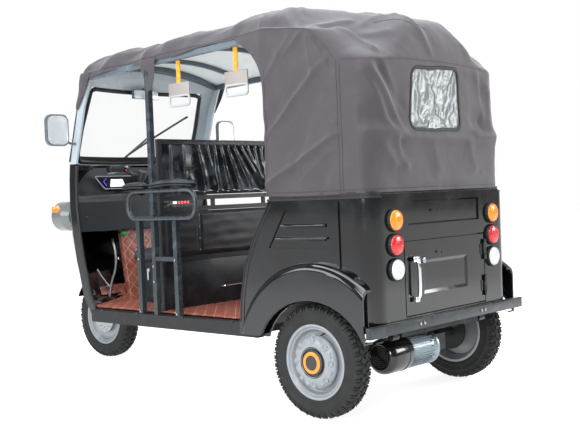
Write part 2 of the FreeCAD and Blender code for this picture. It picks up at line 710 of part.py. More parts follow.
rings = [lamp_ring(side, s.lamp_low + k * s.lamp_step) for side in (1, -1) for k in range(3)]
piece("tail_lamp_rings", Part.makeCompound(rings))
front_amber = [Part.makeCone(26, 16, 34, V(side * 415, -1064, 948), V(side, -0.2, 0))
               for side in (1, -1)]
front_clear = [Part.makeSphere(120, V(side * 345, -1010, 905)).common(
    rod((side * 345, -1094.7, 905), (side * 345, -1200, 905), 77.5)) for side in (1, -1)]
extra = {"amber_lenses": front_amber, "red_lenses": [], "clear_lenses": front_clear}
pods = doc.getObject("headlamp_pods").Shape
for name, k in LAMPS.items():
    solids = [lens(side, s.lamp_low + k * s.lamp_step) for side in (1, -1)]
    piece(name, Part.makeCompound(solids + [e.cut(pods) for e in extra[name]]))


def hatch_door():
    """The rear hatch: a plate with a bevelled recess and two knuckles on its right edge."""
    half, back, wall = s.hatch_half, s.body_back, s.hatch_wall
    door = box(-half, half, back - wall, back, s.hatch_low, s.hatch_high)
    y = back + 0.5
    rings = [wire([(x0, yy, z0), (x1, yy, z0), (x1, yy, z1), (x0, yy, z1)])
             for x0, x1, z0, z1, yy in ((-175, 190, 520, 672, y), (-160, 175, 535, 657, back - 7))]
    door = door.cut(Part.makeLoft(rings, True, True))
    knuckles = [rod((-half + 4, HINGE_Y, z), (-half + 4, HINGE_Y, z + 50), HINGE_R)
                for z in HINGE_ROWS]
    leaves = [box(-half, -half + 34, back, back + 3, z, z + 50) for z in HINGE_ROWS]
    return fused([door] + knuckles + leaves)


piece("hatch_door", hatch_door())


def hatch_handle():
    """A lever handle: rose plate, stem and a grip that hangs down, with a round lock."""
    back, x = s.body_back, s.hatch_half - 62
    rose = box(x - 24, x + 24, back + 0.3, back + 12, 648, 690)
    stem = rod((x, back + 6, 669), (x, back + 20, 669), 13)
    grip = prism_x([(back + 13, 684), (back + 24, 684), (back + 28, 640), (back + 28, 505),
                    (back + 22, 492), (back + 16, 505), (back + 16, 640), (back + 12, 655)],
                   x - 13, x + 13)
    foot = rod((x, back + 0.3, 512), (x, back + 20, 512), 11)
    return fused([rose, stem, grip, foot])


piece("hatch_handle", hatch_handle())


def bumper():
    """The rear bar, a flat tube on two stays from the frame."""
    y1 = s.bumper_back
    bar = box(-s.bumper_half, s.bumper_half, y1 - s.bumper_deep, y1, s.bumper_low,
              s.bumper_low + s.bumper_high)
    bars = [box(x - 16, x + 16, s.body_back - 40, y1 - s.bumper_deep + 2, s.bumper_low + 3,
                s.bumper_low + 35) for x in (-270, 270)]
    return fused([bar] + bars)


piece("bumper", bumper().cut(doc.getObject("chassis_frame").Shape))


# ---------------------------------------------------------------- drive
def motor():
    """The drive motor across the car: finned silver body and a black end bell."""
    y, z, r = s.rear_axle_y + s.motor_back, 238, s.motor_radius
    x0 = s.motor_offset - s.motor_length / 2
    body = rod((x0, y, z), (x0 + s.motor_length, y, z), r - 8)
    fins = []
    count = 28
    for k in range(count):
        fin = Part.makeBox(s.motor_length * 0.5, r - 20, 4, V(x0 + 6, 20, -2))
        fin.rotate(V(0, 0, 0), V(1, 0, 0), 360 * k / count)
        fin.translate(V(0, y, z))
        fins.append(fin)
    bell = rod((x0 + s.motor_length * 0.55, y, z), (x0 + s.motor_length, y, z), r)
    return fused([body, bell] + fins)


piece("motor", motor())


def rear_axle():
    """The live axle: tube, gear case with its cover, and a backing plate at each wheel."""
    y, z = s.rear_axle_y, s.tyre_radius
    reach = s.wheel_track / 2 - 36
    parts = [rod((-reach + 8, y, z), (reach - 8, y, z), s.axle_tube_radius)]
    parts.append(rod((-200, y, z), (-96, y, z), 72))
    for side in (1, -1):
        drum = s.wheel_track / 2 - s.rim_width / 2 - 26
        parts.append(rod((side * (drum - 12), y, z), (side * drum, y, z), s.drum_radius))
        parts.append(rod((side * (drum - 3), y, z), (side * (s.wheel_track / 2 + 30), y, z),
                         s.axle_radius))
    motor_end = s.motor_offset - s.motor_length / 2 - 0.3
    parts.append(box(-190, motor_end, y, y + s.motor_back + 30, z - 40, z + 40))
    return fused(parts)


piece("rear_axle", rear_axle().cut(doc.getObject("motor").Shape))


def leaf_spring():
    """Three bowed leaves clamped over the axle, with an eye at each end."""
    half, w, t = s.spring_length / 2, s.spring_width, s.spring_leaf
    y, z = s.rear_axle_y, s.tyre_radius + s.axle_tube_radius + 0.3
    x0 = s.spring_x - w / 2
    leaves = []
    for k, share in enumerate((0.45, 0.72, 1.0)):
        reach, lift = half * share, s.spring_camber * share ** 2
        z0 = z + k * t
        arc = [Part.Arc(V(x0, y - reach, z0 + lift), V(x0, y, z0), V(x0, y + reach, z0 + lift)),
               Part.Arc(V(x0, y - reach, z0 + lift + t), V(x0, y, z0 + t),
                        V(x0, y + reach, z0 + lift + t))]
        ends = [Part.LineSegment(V(x0, y - reach, z0 + lift), V(x0, y - reach, z0 + lift + t)),
                Part.LineSegment(V(x0, y + reach, z0 + lift), V(x0, y + reach, z0 + lift + t))]
        outline = Part.Wire(Part.__sortEdges__([g.toShape() for g in arc + ends]))
        leaves.append(Part.Face(outline).extrude(V(w, 0, 0)))
    clamp = box(x0 - 4, x0 + w + 4, y - 40, y + 40, z + 0.2, z + 3 * t + 8)
    eyes = []
    for end in (-1, 1):
        ey, ez = y + end * (half + 8), z + 2 * t + s.spring_camber + 6
        eyes.append(rod((x0, ey, ez), (x0 + w, ey, ez), 14))
    eyes.append(box(x0 + 8, x0 + w - 8, y + half - 4, y + half + 20, z + 70, s.frame_top - 1))
    eyes.append(box(x0 + 8, x0 + w - 8, y - half - 20, y - half + 4, z + 70, s.frame_top - 1))
    frame_side = s.frame_half + s.frame_tube / 2 + 0.2
    for end in (-1, 1):
        ey = y + end * (half + 8)
        eyes.append(box(frame_side, x0 + w - 8, ey - 14, ey + 14, s.frame_top - 22, s.frame_top - 1))
    return fused(leaves + [clamp] + eyes)


piece("rear_springs", both(leaf_spring()))


# ---------------------------------------------------------------- roof and hood
def rail_top(y):
    """Height of the roof rail's top at y: it climbs towards the rear."""
    return s.rail_front_top + s.rail_rise * (y - s.rail_front) / (s.hood_front - s.rail_front)


BOWS = (-642, -372, 78, 430)


HOOD_REAR = s.hood_back - 126


def roof_frame():
    """The side rails and the cross bows that stand on them."""
    t, half = s.rail_tube, s.rail_half
    front, flat_y = -600, s.hood_front
    parts = []
    for side in (1, -1):
        inner = side * (half - t / 2)
        a, b = sorted((inner, inner + side * t))
        parts.append(prism_x([(front, rail_top(front)), (flat_y, rail_top(flat_y)),
                              (flat_y, rail_top(flat_y) - t), (front, rail_top(front) - t)], a, b))
        top, slope = rail_top(flat_y), HOOD_REAR - 310
        end = HOOD_REAR - t
        parts.append(prism_x([(flat_y, top), (slope, top - 2), (end, top - 190),
                              (end, top - 224), (slope - 5, top - t), (flat_y, top - t)], a, b))
    for y in BOWS:
        parts.append(arch(y, half - 2, rail_top(y) - 2, s.bow_rise, s.bow_tube))
    hoop = s.hood_front + 12
    parts.append(arch(hoop, half - 2, rail_top(hoop) - 2, s.bow_rise + 28, s.bow_tube))
    return fused(parts)


def hood_posts():
    """The posts on the body's top edge, and the ridge tube that carries the cloth's tail."""
    t, half = s.rail_tube, s.rail_half
    front = box(half - t / 2, half + t / 2, s.hood_front + 14, s.hood_front + 14 + t,
                s.body_top + 1, rail_top(s.hood_front) - t)
    rear = box(half - t / 2, half + t / 2, HOOD_REAR - t, HOOD_REAR, s.body_top + 1,
               rail_top(s.hood_front) - 203)
    y, z = HOOD_REAR - t / 2, rail_top(s.hood_front) - 228
    ridge = bent_tube([(half, y, z), (half - 76, y + 94, z), (76 - half, y + 94, z),
                       (-half, y, z)], 11, 40)
    return Part.makeCompound([front, mirrored(front), fused([rear, mirrored(rear), ridge])])


ROOF_FRAME = roof_frame()


def arch_slab(y0, y1, half, low0, low1, rise, thick):
    """A curved sheet: the same arch at y0 and y1, each at its own height."""
    rings = []
    for y, low in ((y0, low0), (y1, low1)):
        edges = [Part.Arc(V(-half, y, low), V(0, y, low + rise), V(half, y, low)).toShape(),
                 Part.LineSegment(V(half, y, low), V(half, y, low + thick)).toShape(),
                 Part.Arc(V(half, y, low + thick), V(0, y, low + rise + thick),
                          V(-half, y, low + thick)).toShape(),
                 Part.LineSegment(V(-half, y, low + thick), V(-half, y, low)).toShape()]
        rings.append(Part.Wire(edges))
    return Part.makeLoft(rings, True, True)


y_head = -690
lining = arch_slab(y_head, s.hood_front, s.rail_half - 4, rail_top(y_head) + 1,
                   rail_top(s.hood_front) + 1, s.bow_rise, s.lining_wall)
piece("roof_lining", lining.common(shell_solid(s.wall + 0.5, 1700)))
header = arch_slab(y_head - 8, -600, s.rail_half - 4, rail_top(-645) - 29, rail_top(-645) - 29,
                   s.bow_rise, 24)
header = header.common(shell_solid(s.wall + 0.3, 600))
piece("roof_frame", fused([ROOF_FRAME, header]).cut(doc.getObject("windscreen_frame").Shape))
piece("hood_posts", hood_posts().cut(doc.getObject("roof_frame").Shape))


def hood_profile(inset):
    """The roof cloth's side view: rounded front brow, crown at the hood's front, sloped tail."""
    f, top, back = s.roof_front + inset, s.crown_top - inset, s.hood_back - inset
    return [(f, 1690), (f + 6, 1722), (f + 40, 1768), (f + 130, 1800), (0, 1812 - inset),
            (520, 1836 - inset), (s.hood_front - 10, top), (back - 426 + inset, top - 20),
            (back - 266 + inset, top - 58), (back - 110 + inset, top - 102), (back - 12, 1590),
            (back - 2, 1560), (back + 2, 1400), (back + 6, 1240), (back - 8, 1100),
            (back - 6, 900), (f, 900)]


def hood_section(inset):
    """The front view: walls, squarish shoulders and a low crown."""
    half, top = s.hood_half - inset, s.crown_top - inset
    side = [(half + 4, 1240), (half - 4, 1560), (half - 8, 1735), (half - 22, 1790 - inset / 2),
            (half - 56, 1822 - inset), (half - 130, top - 24), (180, top - 6)]
    left = [(-half, 900)] + [(-x, z) for x, z in side]
    return left + [(0, top)] + side[::-1] + [(half, 900)]


def hip_cut(inset):
    """What the sloping hips take off: from the shoulder down to the head of the corner seam."""
    high = V(s.hood_half - 102, s.hood_back - 396, 1781)
    seam = V(s.hood_half, s.hood_back - 170, 1549)
    middle = V(s.hood_half - 252, s.hood_back - 11, 1600)
    out = (seam - high).cross(middle - high).normalize()
    u = (seam - high).normalize()
    v = out.cross(u)
    centre = high - out * inset
    corners = [centre + u * a + v * b for a, b in ((-900, -900), (900, -900), (900, 900),
                                                   (-900, 900))]
    return both(face([tuple(c) for c in corners]).extrude(out * 900))


def roof_section(y, inset):
    """The front roof's section at y, between the rails."""
    half, low = s.roof_half - inset, rail_top(y) - s.hem_drop - 30
    top = rail_top(y) + s.bow_rise + 34 - inset
    return Part.makePolygon([V(*p) for p in (
        (-half, y, low), (-half + 6, y, rail_top(y) + 20), (-half + 34, y, top - 44),
        (-half + 100, y, top - 22), (-160, y, top - 4), (160, y, top - 4),
        (half - 100, y, top - 22), (half - 34, y, top - 44), (half - 6, y, rail_top(y) + 20),
        (half, y, low), (-half, y, low))])


def hood_solid(inset):
    """Hood and roof together as one solid, cut to the side view."""
    side = prism_x(hood_profile(inset), -700, 700)
    front_y = s.hood_front + inset
    tail = prism_y(hood_section(inset), front_y, s.hood_back + 104)
    half, back = s.hood_half - inset + 5, s.hood_back - inset
    round_off = [(half, back - 166), (half - 12, back - 92), (half - 46, back - 34),
                 (half - 108, back + 12)]
    plan = prism_z([(-half, front_y), (half, front_y)] + round_off +
                   [(-x, y) for x, y in round_off[::-1]], 0, 2000)
    tail = tail.common(plan).cut(hip_cut(inset))
    front = Part.makeLoft([roof_section(s.roof_front - 40, inset),
                           roof_section(s.hood_front + inset + 20, inset)], True, True)
    return front.fuse(tail).common(side)


def canopy():
    """The cloth: a closed shell round the frame, open below, ahead and at the window."""
    w = s.cloth_wall
    outer = hood_solid(0)
    inner = hood_solid(w)
    shell = outer.cut(inner)
    low_hood = box(-900, 900, s.hood_front - 1, 2000, 0, s.hood_bottom)
    low_roof = prism_x([(-2000, rail_top(-2000) - s.hem_drop - 22), (-2000, 0), (s.hood_front, 0),
                        (s.hood_front, rail_top(s.hood_front) - s.hem_drop - 22)], -900, 900)
    doorway = prism_x([(s.hood_front - 30, 0), (s.hood_front + w + 4, 0),
                       (s.hood_front + w + 4, 1540), (s.hood_front - 60, 1690),
                       (s.hood_front - 90, 1690)], -(s.rail_half + 8), s.rail_half + 8)
    head_way = box(-462, 462, s.roof_front - 50, s.hood_front + w + 4, 0, 1672)
    head_way2 = box(-440, 440, s.hood_front - 20, s.hood_front + w + 6, 0, 1720)
    x = s.window_x
    window = box(x - s.window_half, x + s.window_half, s.hood_back - 96, s.hood_back + 104,
                 s.window_low, s.window_high)
    window = window.makeFillet(28, [e for e in window.Edges
                                    if abs(e.CenterOfMass.y - s.hood_back - 4) < 1])
    return shell.cut([low_hood, low_roof, head_way, head_way2, window]), window


# ---------------------------------------------------------------- cabin
def door_posts():
    """The left doorway's posts: the tall main post, two short ones and the armrest hoop."""
    x, r = s.post_half, s.post_tube / 2
    floor = s.sill_bottom + s.sill_rise
    y = s.main_post_y
    hoop_low, hoop_high = 888, 1030
    parts = [box(x - r, x + r, y - r, y + r, floor, rail_top(y) - s.rail_tube - 0.3)]
    for py in (-172, 118):
        parts.append(box(x - r, x + r, py - r, py + r, floor, hoop_low))
    parts.append(box(x - r + 2, x + r - 2, y, 118, 668, 690))
    y0, y1, bend, bar = -228, 298, 58, 11
    hx, ym = x + r + 12, (y0 + y1) / 2
    hoop = [bent_tube([(hx, ym, hoop_low), (hx, end, hoop_low), (hx, end, hoop_high),
                       (hx, ym, hoop_high)], bar, bend) for end in (y0, y1)]
    links = [box(x, hx, py - 9, py + 9, hoop_low - 8, hoop_low + 10) for py in (-172, y, 118)]
    links.append(box(x, hx, y - 9, y + 9, hoop_high - 10, hoop_high + 8))
    return fused(parts + hoop + links)


piece("door_posts", door_posts())


def arm_pads():
    """Two padded rests on the hoop's top bar, one each side of the main post."""
    hx = s.post_half + s.post_tube / 2 + 12
    pads = []
    for y0, y1 in ((-250, s.main_post_y - 18), (s.main_post_y + 18, 305)):
        pad = box(hx - 26, hx + 30, y0, y1, 1041.3, 1078)
        pads.append(pad.makeFillet(14, [e for e in pad.Edges if e.CenterOfMass.z > 1060]))
    return Part.makeCompound(pads)


piece("arm_pads", arm_pads())


def partition_frame():
    """The lateral frame behind the driver: uprights, top rail, two lower rails and posts."""
    t, half, y = s.partition_tube, s.partition_half, s.partition_y
    low = s.mat_top
    parts = [box(x - t / 2, x + t / 2, y - t / 2, y + t / 2, low, s.partition_top)
             for x in (-half, half)]
    for z in (s.partition_top, s.partition_split, s.partition_rail, 676):
        parts.append(box(-half, half, y - t / 2, y + t / 2, z - t, z))
    parts += [box(x - 9, x + 9, y - 9, y + 9, s.partition_rail - 2, s.partition_split - t + 2)
              for x in (-300, 100)]
    parts += [box(sx * half, sx * 506, y - 9, y + 9, 660, 676) if sx > 0 else
              box(sx * 487.6, sx * half, y - 9, y + 9, 660, 676) for sx in (1, -1)]
    return fused(parts)


piece("partition_frame", partition_frame().cut(doc.getObject("door_posts").Shape))


def partition_panels():
    """What the frame holds: the soft upper sheet, the padded back and the base panel."""
    half = s.partition_half - s.partition_tube / 2 - 0.3
    y, t, w = s.partition_y, s.partition_tube, s.panel_wall / 2
    return Part.makeCompound([
        box(-half, half, y - w / 2, y + w / 2, s.partition_split + 0.3, s.partition_top - t - 0.3),
        box(-half, half, y - w, y + w, 676.3, s.partition_rail - t - 0.3),
        box(-half, half, y - 4, y + 4, s.mat_top + 0.3, 676 - t - 0.3)])


piece("partition_panels", partition_panels())


def low_side():
    """The right doorway's low panel, from the front shell back to the body side."""
    x = -s.cab_half - 2
    panel = box(x - 14, x, -560, 585, s.sill_bottom + s.sill_rise + 0.3, 668)
    rail = rod((x - 7, -560, 675), (x - 7, 585, 675), 12)
    return fused([panel, rail])


piece("right_side_panel", low_side().cut([doc.getObject("front_cowl").Shape,
                                          doc.getObject("body_sides").Shape]))


def driver_seat():
    """The driver's cushion."""
    top, pad, half = s.seat_top, s.seat_pad, s.seat_half
    seat = box(-half, half, s.seat_front, s.seat_back, top - pad, top)
    return seat.makeFillet(20, [e for e in seat.Edges if e.CenterOfMass.z > top - 1
                                or abs(e.CenterOfMass.z - top + pad / 2) < 1])


piece("driver_seat", driver_seat())
piece("driver_seat_box", box(-s.seat_box_half, s.seat_box_half, s.seat_front + 25, s.seat_back,
                             s.mat_top + 0.3, s.seat_top - s.seat_pad - 0.3).cut(
    box(8 - s.seat_box_half, s.seat_box_half - 8, s.seat_front + 33, s.seat_back - 8,
        0, s.seat_top - s.seat_pad - 8)))


def bench():
    """The passengers' bench: seat cushion and back cushion."""
    half, top, pad = s.bench_half, s.bench_top, s.bench_pad
    seat = box(-half, half, s.bench_front, s.bench_front + 430, top - pad, top)
    seat = seat.makeFillet(24, [e for e in seat.Edges if e.CenterOfMass.z > top - 1])
    back = box(-half, half, s.bench_front + 434, s.bench_front + 530.7, top + 2, s.bench_back_top)
    back = back.makeFillet(24, [e for e in back.Edges if e.CenterOfMass.y < s.bench_front + 435])
    return Part.makeCompound([seat, back])


piece("bench_cushions", bench())


def bench_box():
    """The bench's base panel and shelf, and the back board that stands on it."""
    half, top, w = s.bench_half, s.bench_top - s.bench_pad - 0.3, s.wall
    y0, y1 = s.bench_front + 20, s.bench_front + 540
    front = box(-half, half, y0, y0 + w, s.frame_top + 0.3, top)
    shelf = box(-half, half, y0, y1, top - w, top)
    board = box(-half, half, y1 - 9, y1, top - w, s.bench_back_top)
    sides = [box(x, x + w, y0, y1, s.frame_top + 0.3, top) for x in (-half, half - w)]
    floor = box(-half, half, y0, s.body_back - 60, s.frame_top + 0.3, s.frame_top + 5)
    arms = [box(a, b, y0 + 30, y1 - 60, top - w, top) for a, b in
            ((half, s.body_half - s.wall - 0.3), (-s.body_half + s.wall + 0.3, -half))]
    return fused([front, shelf, board, floor] + sides + arms)


piece("bench_base", bench_box().cut(doc.getObject("wheel_housings").Shape))
piece("battery_pack", box(-240, 240, s.bench_front + 60, s.bench_front + 420,
                          s.frame_top + 5.3, s.frame_top + 228))


# ---------------------------------------------------------------- fittings
def wing_mirror(side):
    """A mirror on its bent arm: the arm rises from the pillar to an upright oval shell."""
    root = s.cab_half + 0.2
    near, far = s.body_half + 12, s.body_half + 157
    shell = box(*sorted((side * near, side * far)), -714, -690, 1302, 1477)
    shell = shell.makeFillet(40, [e for e in shell.Edges if abs(e.CenterOfMass.y + 702) < 1])
    glass_seat = box(-900, 900, -694, -600, 1309, 1470)
    arm = bent_tube([(side * root, -740, 1318), (side * (root + 40), -745, 1322),
                     (side * (near + 18), -712, 1360)],
                    7, 12)
    return fused([shell, arm]).cut(glass_seat)


mirrors = [wing_mirror(1), wing_mirror(-1)]
cabin_mirror = box(-95, 95, -722, -706, 1590, 1645)
cabin_mirror = fused([cabin_mirror, rod((0, -714, 1636), (0, -742, 1668), 7)])
frames = [doc.getObject(n).Shape for n in ("windscreen_frame", "roof_frame", "roof_lining")]
piece("mirror_shells", Part.makeCompound([m.cut(frames) for m in mirrors + [cabin_mirror]]))


def glass(x0, x1, y, z0, z1, r):
    plate = box(x0, x1, y, y + 3, z0, z1)
    return plate.makeFillet(r, [e for e in plate.Edges if abs(e.CenterOfMass.y - y - 1.5) < 0.1
                                and abs(e.Length - 3) < 0.1])


piece("mirror_glasses", Part.makeCompound([
    glass(s.body_half + 20, s.body_half + 149, -693.7, 1310, 1469, 36),
    glass(-s.body_half - 149, -s.body_half - 20, -693.7, 1310, 1469, 36),
    glass(-90, 90, -705.7, 1594, 1641, 10)]))


STRAPS = (144, 557)


def grips():
    """Two hanging grips on the left rail: a strap, a plate and a loop below it."""
    straps, plates = [], []
    x = s.rail_half
    for y in STRAPS:
        top = rail_top(y)
        strap = box(x - 20.1, x - 14.3, y - 13, y + 13, top - 140, top)
        plate = box(x - 24, x - 12, y - 85, y + 85, top - 250, top - 140.3)
        slot = box(x - 40, x + 10, y - 66, y + 66, top - 236, top - 208)
        plate = plate.cut(slot)
        straps.append(strap)
        plates.append(plate.makeFillet(12, [e for e in plate.Edges if abs(e.Length - 12) < 0.1
                                            and abs(e.CenterOfMass.y - y) > 80]))
    return straps, plates


straps, plates = grips()
piece("grip_straps", Part.makeCompound(straps))
piece("grip_plates", Part.makeCompound(plates))


# ---------------------------------------------------------------- cloth
CANOPY, WINDOW = canopy()
held = [doc.getObject(n).Shape for n in ("roof_frame", "hood_posts", "windscreen_frame", "roof_lining",
                                         "body_sides", "rear_panel", "door_posts")]
piece("canopy", CANOPY.cut(held))
x = s.window_x
pane = box(x - s.window_half - 14, x + s.window_half + 14, s.hood_back - 96, s.hood_back + 104,
           s.window_low - 14, s.window_high + 14)
sheet_in = hood_solid(s.cloth_wall + 0.4).cut(hood_solid(s.cloth_wall + 3.4))
piece("rear_window", sheet_in.common(pane))


# ---------------------------------------------------------------- write
def main():
    doc.recompute()
    os.makedirs("parts", exist_ok=True)
    for obj in doc.Objects:
        if "Invalid" in obj.State or "Error" in obj.State:
            raise RuntimeError("failed: " + obj.Name + " " + str(obj.State))
    for obj in NODES:
        if obj.Shape.isNull() or not obj.Shape.isValid():
            raise RuntimeError("bad shape: " + obj.Label)
        obj.Shape.exportStep("parts/" + obj.Label + ".step")
        b = obj.Shape.BoundBox
        print("%-22s %d %9.0f  x %7.1f %7.1f  y %7.1f %7.1f  z %7.1f %7.1f" % (
            obj.Label, len(obj.Shape.Solids), obj.Shape.Volume / 1000,
            b.XMin, b.XMax, b.YMin, b.YMax, b.ZMin, b.ZMax))


main()
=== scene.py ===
"""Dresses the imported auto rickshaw: canvas roof and hood, vinyl, enamel, rubber and small fittings.

Frame: +X is the vehicle's left side, +Y its rear, +Z up, in metres, origin on the ground.
"""
import json
import math

import bpy
from mathutils import Matrix, Vector, noise
from mathutils.bvhtree import BVHTree

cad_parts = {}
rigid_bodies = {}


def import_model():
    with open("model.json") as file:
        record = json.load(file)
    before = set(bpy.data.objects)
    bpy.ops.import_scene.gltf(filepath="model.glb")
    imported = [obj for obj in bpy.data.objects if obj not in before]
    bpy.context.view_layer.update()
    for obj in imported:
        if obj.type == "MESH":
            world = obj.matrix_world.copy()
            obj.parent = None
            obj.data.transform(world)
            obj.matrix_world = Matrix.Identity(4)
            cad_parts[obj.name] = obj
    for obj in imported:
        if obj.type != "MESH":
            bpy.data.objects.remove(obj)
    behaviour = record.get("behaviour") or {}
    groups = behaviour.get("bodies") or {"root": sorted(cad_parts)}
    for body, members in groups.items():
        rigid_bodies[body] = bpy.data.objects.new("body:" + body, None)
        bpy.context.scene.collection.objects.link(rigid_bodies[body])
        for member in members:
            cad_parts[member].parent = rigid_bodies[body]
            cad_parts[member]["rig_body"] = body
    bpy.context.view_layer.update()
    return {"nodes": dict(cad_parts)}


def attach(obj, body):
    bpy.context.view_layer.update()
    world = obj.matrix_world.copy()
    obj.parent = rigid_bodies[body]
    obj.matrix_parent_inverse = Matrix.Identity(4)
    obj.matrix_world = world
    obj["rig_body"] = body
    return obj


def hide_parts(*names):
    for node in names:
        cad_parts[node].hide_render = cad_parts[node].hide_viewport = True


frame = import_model()
nodes = frame["nodes"]
CHASSIS = "chassis"


# ---------------- camera and lights
def place_camera():
    """A long lens behind and to the left of the vehicle, at half its height."""
    yaw, pitch, roll = 0.8311, -0.0253, 0.0396
    place = (3.7358, 3.8369, 0.9914)
    forward = Vector((-math.sin(yaw) * math.cos(pitch), -math.cos(yaw) * math.cos(pitch),
                      math.sin(pitch)))
    right = forward.cross(Vector((0, 0, 1))).normalized()
    up = right.cross(forward)
    c, s = math.cos(roll), math.sin(roll)
    side, top = c * right - s * up, s * right + c * up
    data = bpy.data.cameras.new("camera")
    data.lens, data.sensor_width, data.clip_end = 59.81, 36.0, 60.0
    camera = bpy.data.objects.new("camera", data)
    bpy.context.scene.collection.objects.link(camera)
    turn = Matrix((side, top, -forward)).transposed().to_4x4()
    camera.matrix_world = Matrix.Translation(place) @ turn
    bpy.context.scene.camera = camera


# name: place, the point it looks at, width and height in metres, watts, colour
LAMPS = {
    "key": ((3.6, 3.4, 4.6), (0, 0.6, 0.7), (3.2, 3.2), 200, (1, 1, 1)),
    "fill": ((5.2, -2.6, 2.6), (0, -0.2, 0.9), (3.0, 2.4), 130, (0.93, 0.97, 1.0)),
    "far": ((-4.4, -1.0, 3.2), (0, 0.2, 1.0), (3.0, 2.4), 110, (1, 1, 1)),
    "overhead": ((0, 0.2, 5.4), (0, 0.2, 0), (4.5, 5.5), 450, (0.90, 0.95, 1.0)),
    "rear": ((-4.2, 5.0, 2.3), (0, 1.2, 0.8), (2.6, 1.6), 150, (1, 1, 1)),
    "door": ((4.9, 3.3, 1.6), (0, 0.0, 1.1), (1.2, 1.0), 90, (1, 1, 1)),
    "side": ((6.2, 1.2, 3.0), (0, 0.4, 0.9), (1.2, 3.4), 120, (0.95, 0.98, 1.0)),
}


def lamp(name, place, target, size, power, tone):
    """A soft lamp, a lit rectangle turned to a point."""
    data = bpy.data.lights.new(name, "AREA")
    data.shape, data.size, data.size_y = "RECTANGLE", size[0], size[1]
    data.energy, data.color = power, tone
    light = bpy.data.objects.new(name, data)
    bpy.context.scene.collection.objects.link(light)
    light.location = place
    light.rotation_euler = (Vector(target) - Vector(place)).to_track_quat("-Z", "Y").to_euler()


def studio():
    """Soft lamps all round, in a pale room that is white beyond the vehicle's front right corner."""
    for name, (place, target, size, power, tone) in LAMPS.items():
        lamp(name, place, target, size, power, tone)
    beyond, grey, white = (-0.739, -0.674, 0.0), 0.26, 1.0
    world = bpy.data.worlds.new("studio")
    world.use_nodes = True
    sky = world.node_tree
    way = sky.nodes.new("ShaderNodeTexCoord").outputs["Generated"]
    facing = sky.nodes.new("ShaderNodeVectorMath")
    facing.operation = "DOT_PRODUCT"
    facing.inputs[1].default_value = beyond
    sky.links.new(way, facing.inputs[0])
    glow = sky.nodes.new("ShaderNodeMapRange")
    for key, value in (("From Min", 0.60), ("From Max", 0.88), ("To Min", grey), ("To Max", white)):
        glow.inputs[key].default_value = value
    sky.links.new(facing.outputs["Value"], glow.inputs["Value"])
    sky.links.new(glow.outputs["Result"], sky.nodes["Background"].inputs["Strength"])
    sky.nodes["Background"].inputs["Color"].default_value = (1.0, 1.0, 1.0, 1)
    bpy.context.scene.world = world
    bpy.context.scene.view_settings.view_transform = "Standard"


place_camera()
studio()


# ---------------- making and shaping pieces
def deselect():
    """Object mode with nothing selected."""
    if bpy.context.object and bpy.context.object.mode != "OBJECT":
        bpy.ops.object.mode_set(mode="OBJECT")
    bpy.ops.object.select_all(action="DESELECT")


def activate(*pieces):
    """Selects these pieces alone, the first of them active."""
    deselect()
    for piece in pieces:
        piece.select_set(True)
    bpy.context.view_layer.objects.active = pieces[0]


def settle(piece):
    """Puts a piece's place into its mesh."""
    activate(piece)
    bpy.ops.object.transform_apply(location=True, rotation=True, scale=True)
    return piece


def finish_with(piece, kind, **settings):
    """Adds a modifier and applies it."""
    activate(piece)
    modifier = piece.modifiers.new(kind.lower(), kind)
    for key, value in settings.items():
        setattr(modifier, key, value)
    bpy.ops.object.modifier_apply(modifier=modifier.name)
    return piece


def smooth(piece, angle=35):
    """Shades a piece smooth except where its faces meet at more than an angle."""
    activate(piece)
    bpy.ops.object.shade_smooth_by_angle(angle=math.radians(angle))
    return piece


def join(name, pieces):
    """Makes one piece of several."""
    activate(*pieces)
    if len(pieces) > 1:
        bpy.ops.object.join()
    piece = bpy.context.object
    piece.name = name
    return piece


def edges_where(piece, test):
    """In edit mode with edges picked where test(middle, direction) holds."""
    activate(piece)
    mesh = piece.data
    bpy.ops.object.mode_set(mode="EDIT")
    bpy.ops.mesh.select_mode(type="EDGE")
    bpy.ops.mesh.select_all(action="DESELECT")
    bpy.ops.object.mode_set(mode="OBJECT")
    for edge in mesh.edges:
        a, b = (piece.matrix_world @ mesh.vertices[i].co for i in edge.vertices)
        edge.select = bool(test((a + b) / 2, (b - a).normalized()))
    bpy.ops.object.mode_set(mode="EDIT")


def faces_where(piece, test):
    """In edit mode with faces picked where test(centre, normal) holds."""
    activate(piece)
    mesh = piece.data
    bpy.ops.object.mode_set(mode="EDIT")
    bpy.ops.mesh.select_mode(type="FACE")
    bpy.ops.mesh.select_all(action="DESELECT")
    bpy.ops.object.mode_set(mode="OBJECT")
    for face in mesh.polygons:
        face.select = bool(test(piece.matrix_world @ face.center,
                                (piece.matrix_world.to_3x3() @ face.normal).normalized()))
    bpy.ops.object.mode_set(mode="EDIT")


def done():
    """Leaves edit mode."""
    bpy.ops.object.mode_set(mode="OBJECT")


def face_outwards(piece):
    """Turns every face of a piece the same way, outwards."""
    activate(piece)
    bpy.ops.object.mode_set(mode="EDIT")
    bpy.ops.mesh.select_all(action="SELECT")
    bpy.ops.mesh.normals_make_consistent(inside=False)
    done()
    return piece


def block(low, high, bevel=0.0, segments=2, turn=None):
    """A block between two corners with its edges rounded over."""
    deselect()
    low, high = Vector(low), Vector(high)
    bpy.ops.mesh.primitive_cube_add(size=1, location=(low + high) / 2)
    piece = bpy.context.object
    piece.scale = high - low
    settle(piece)
    if bevel:
        bpy.ops.object.mode_set(mode="EDIT")
        bpy.ops.mesh.select_all(action="SELECT")
        bpy.ops.mesh.bevel(offset=bevel, segments=segments, profile=0.5, affect="EDGES")
        done()
    if turn is not None:
        rotate(piece, (low + high) / 2, *turn)
    return piece


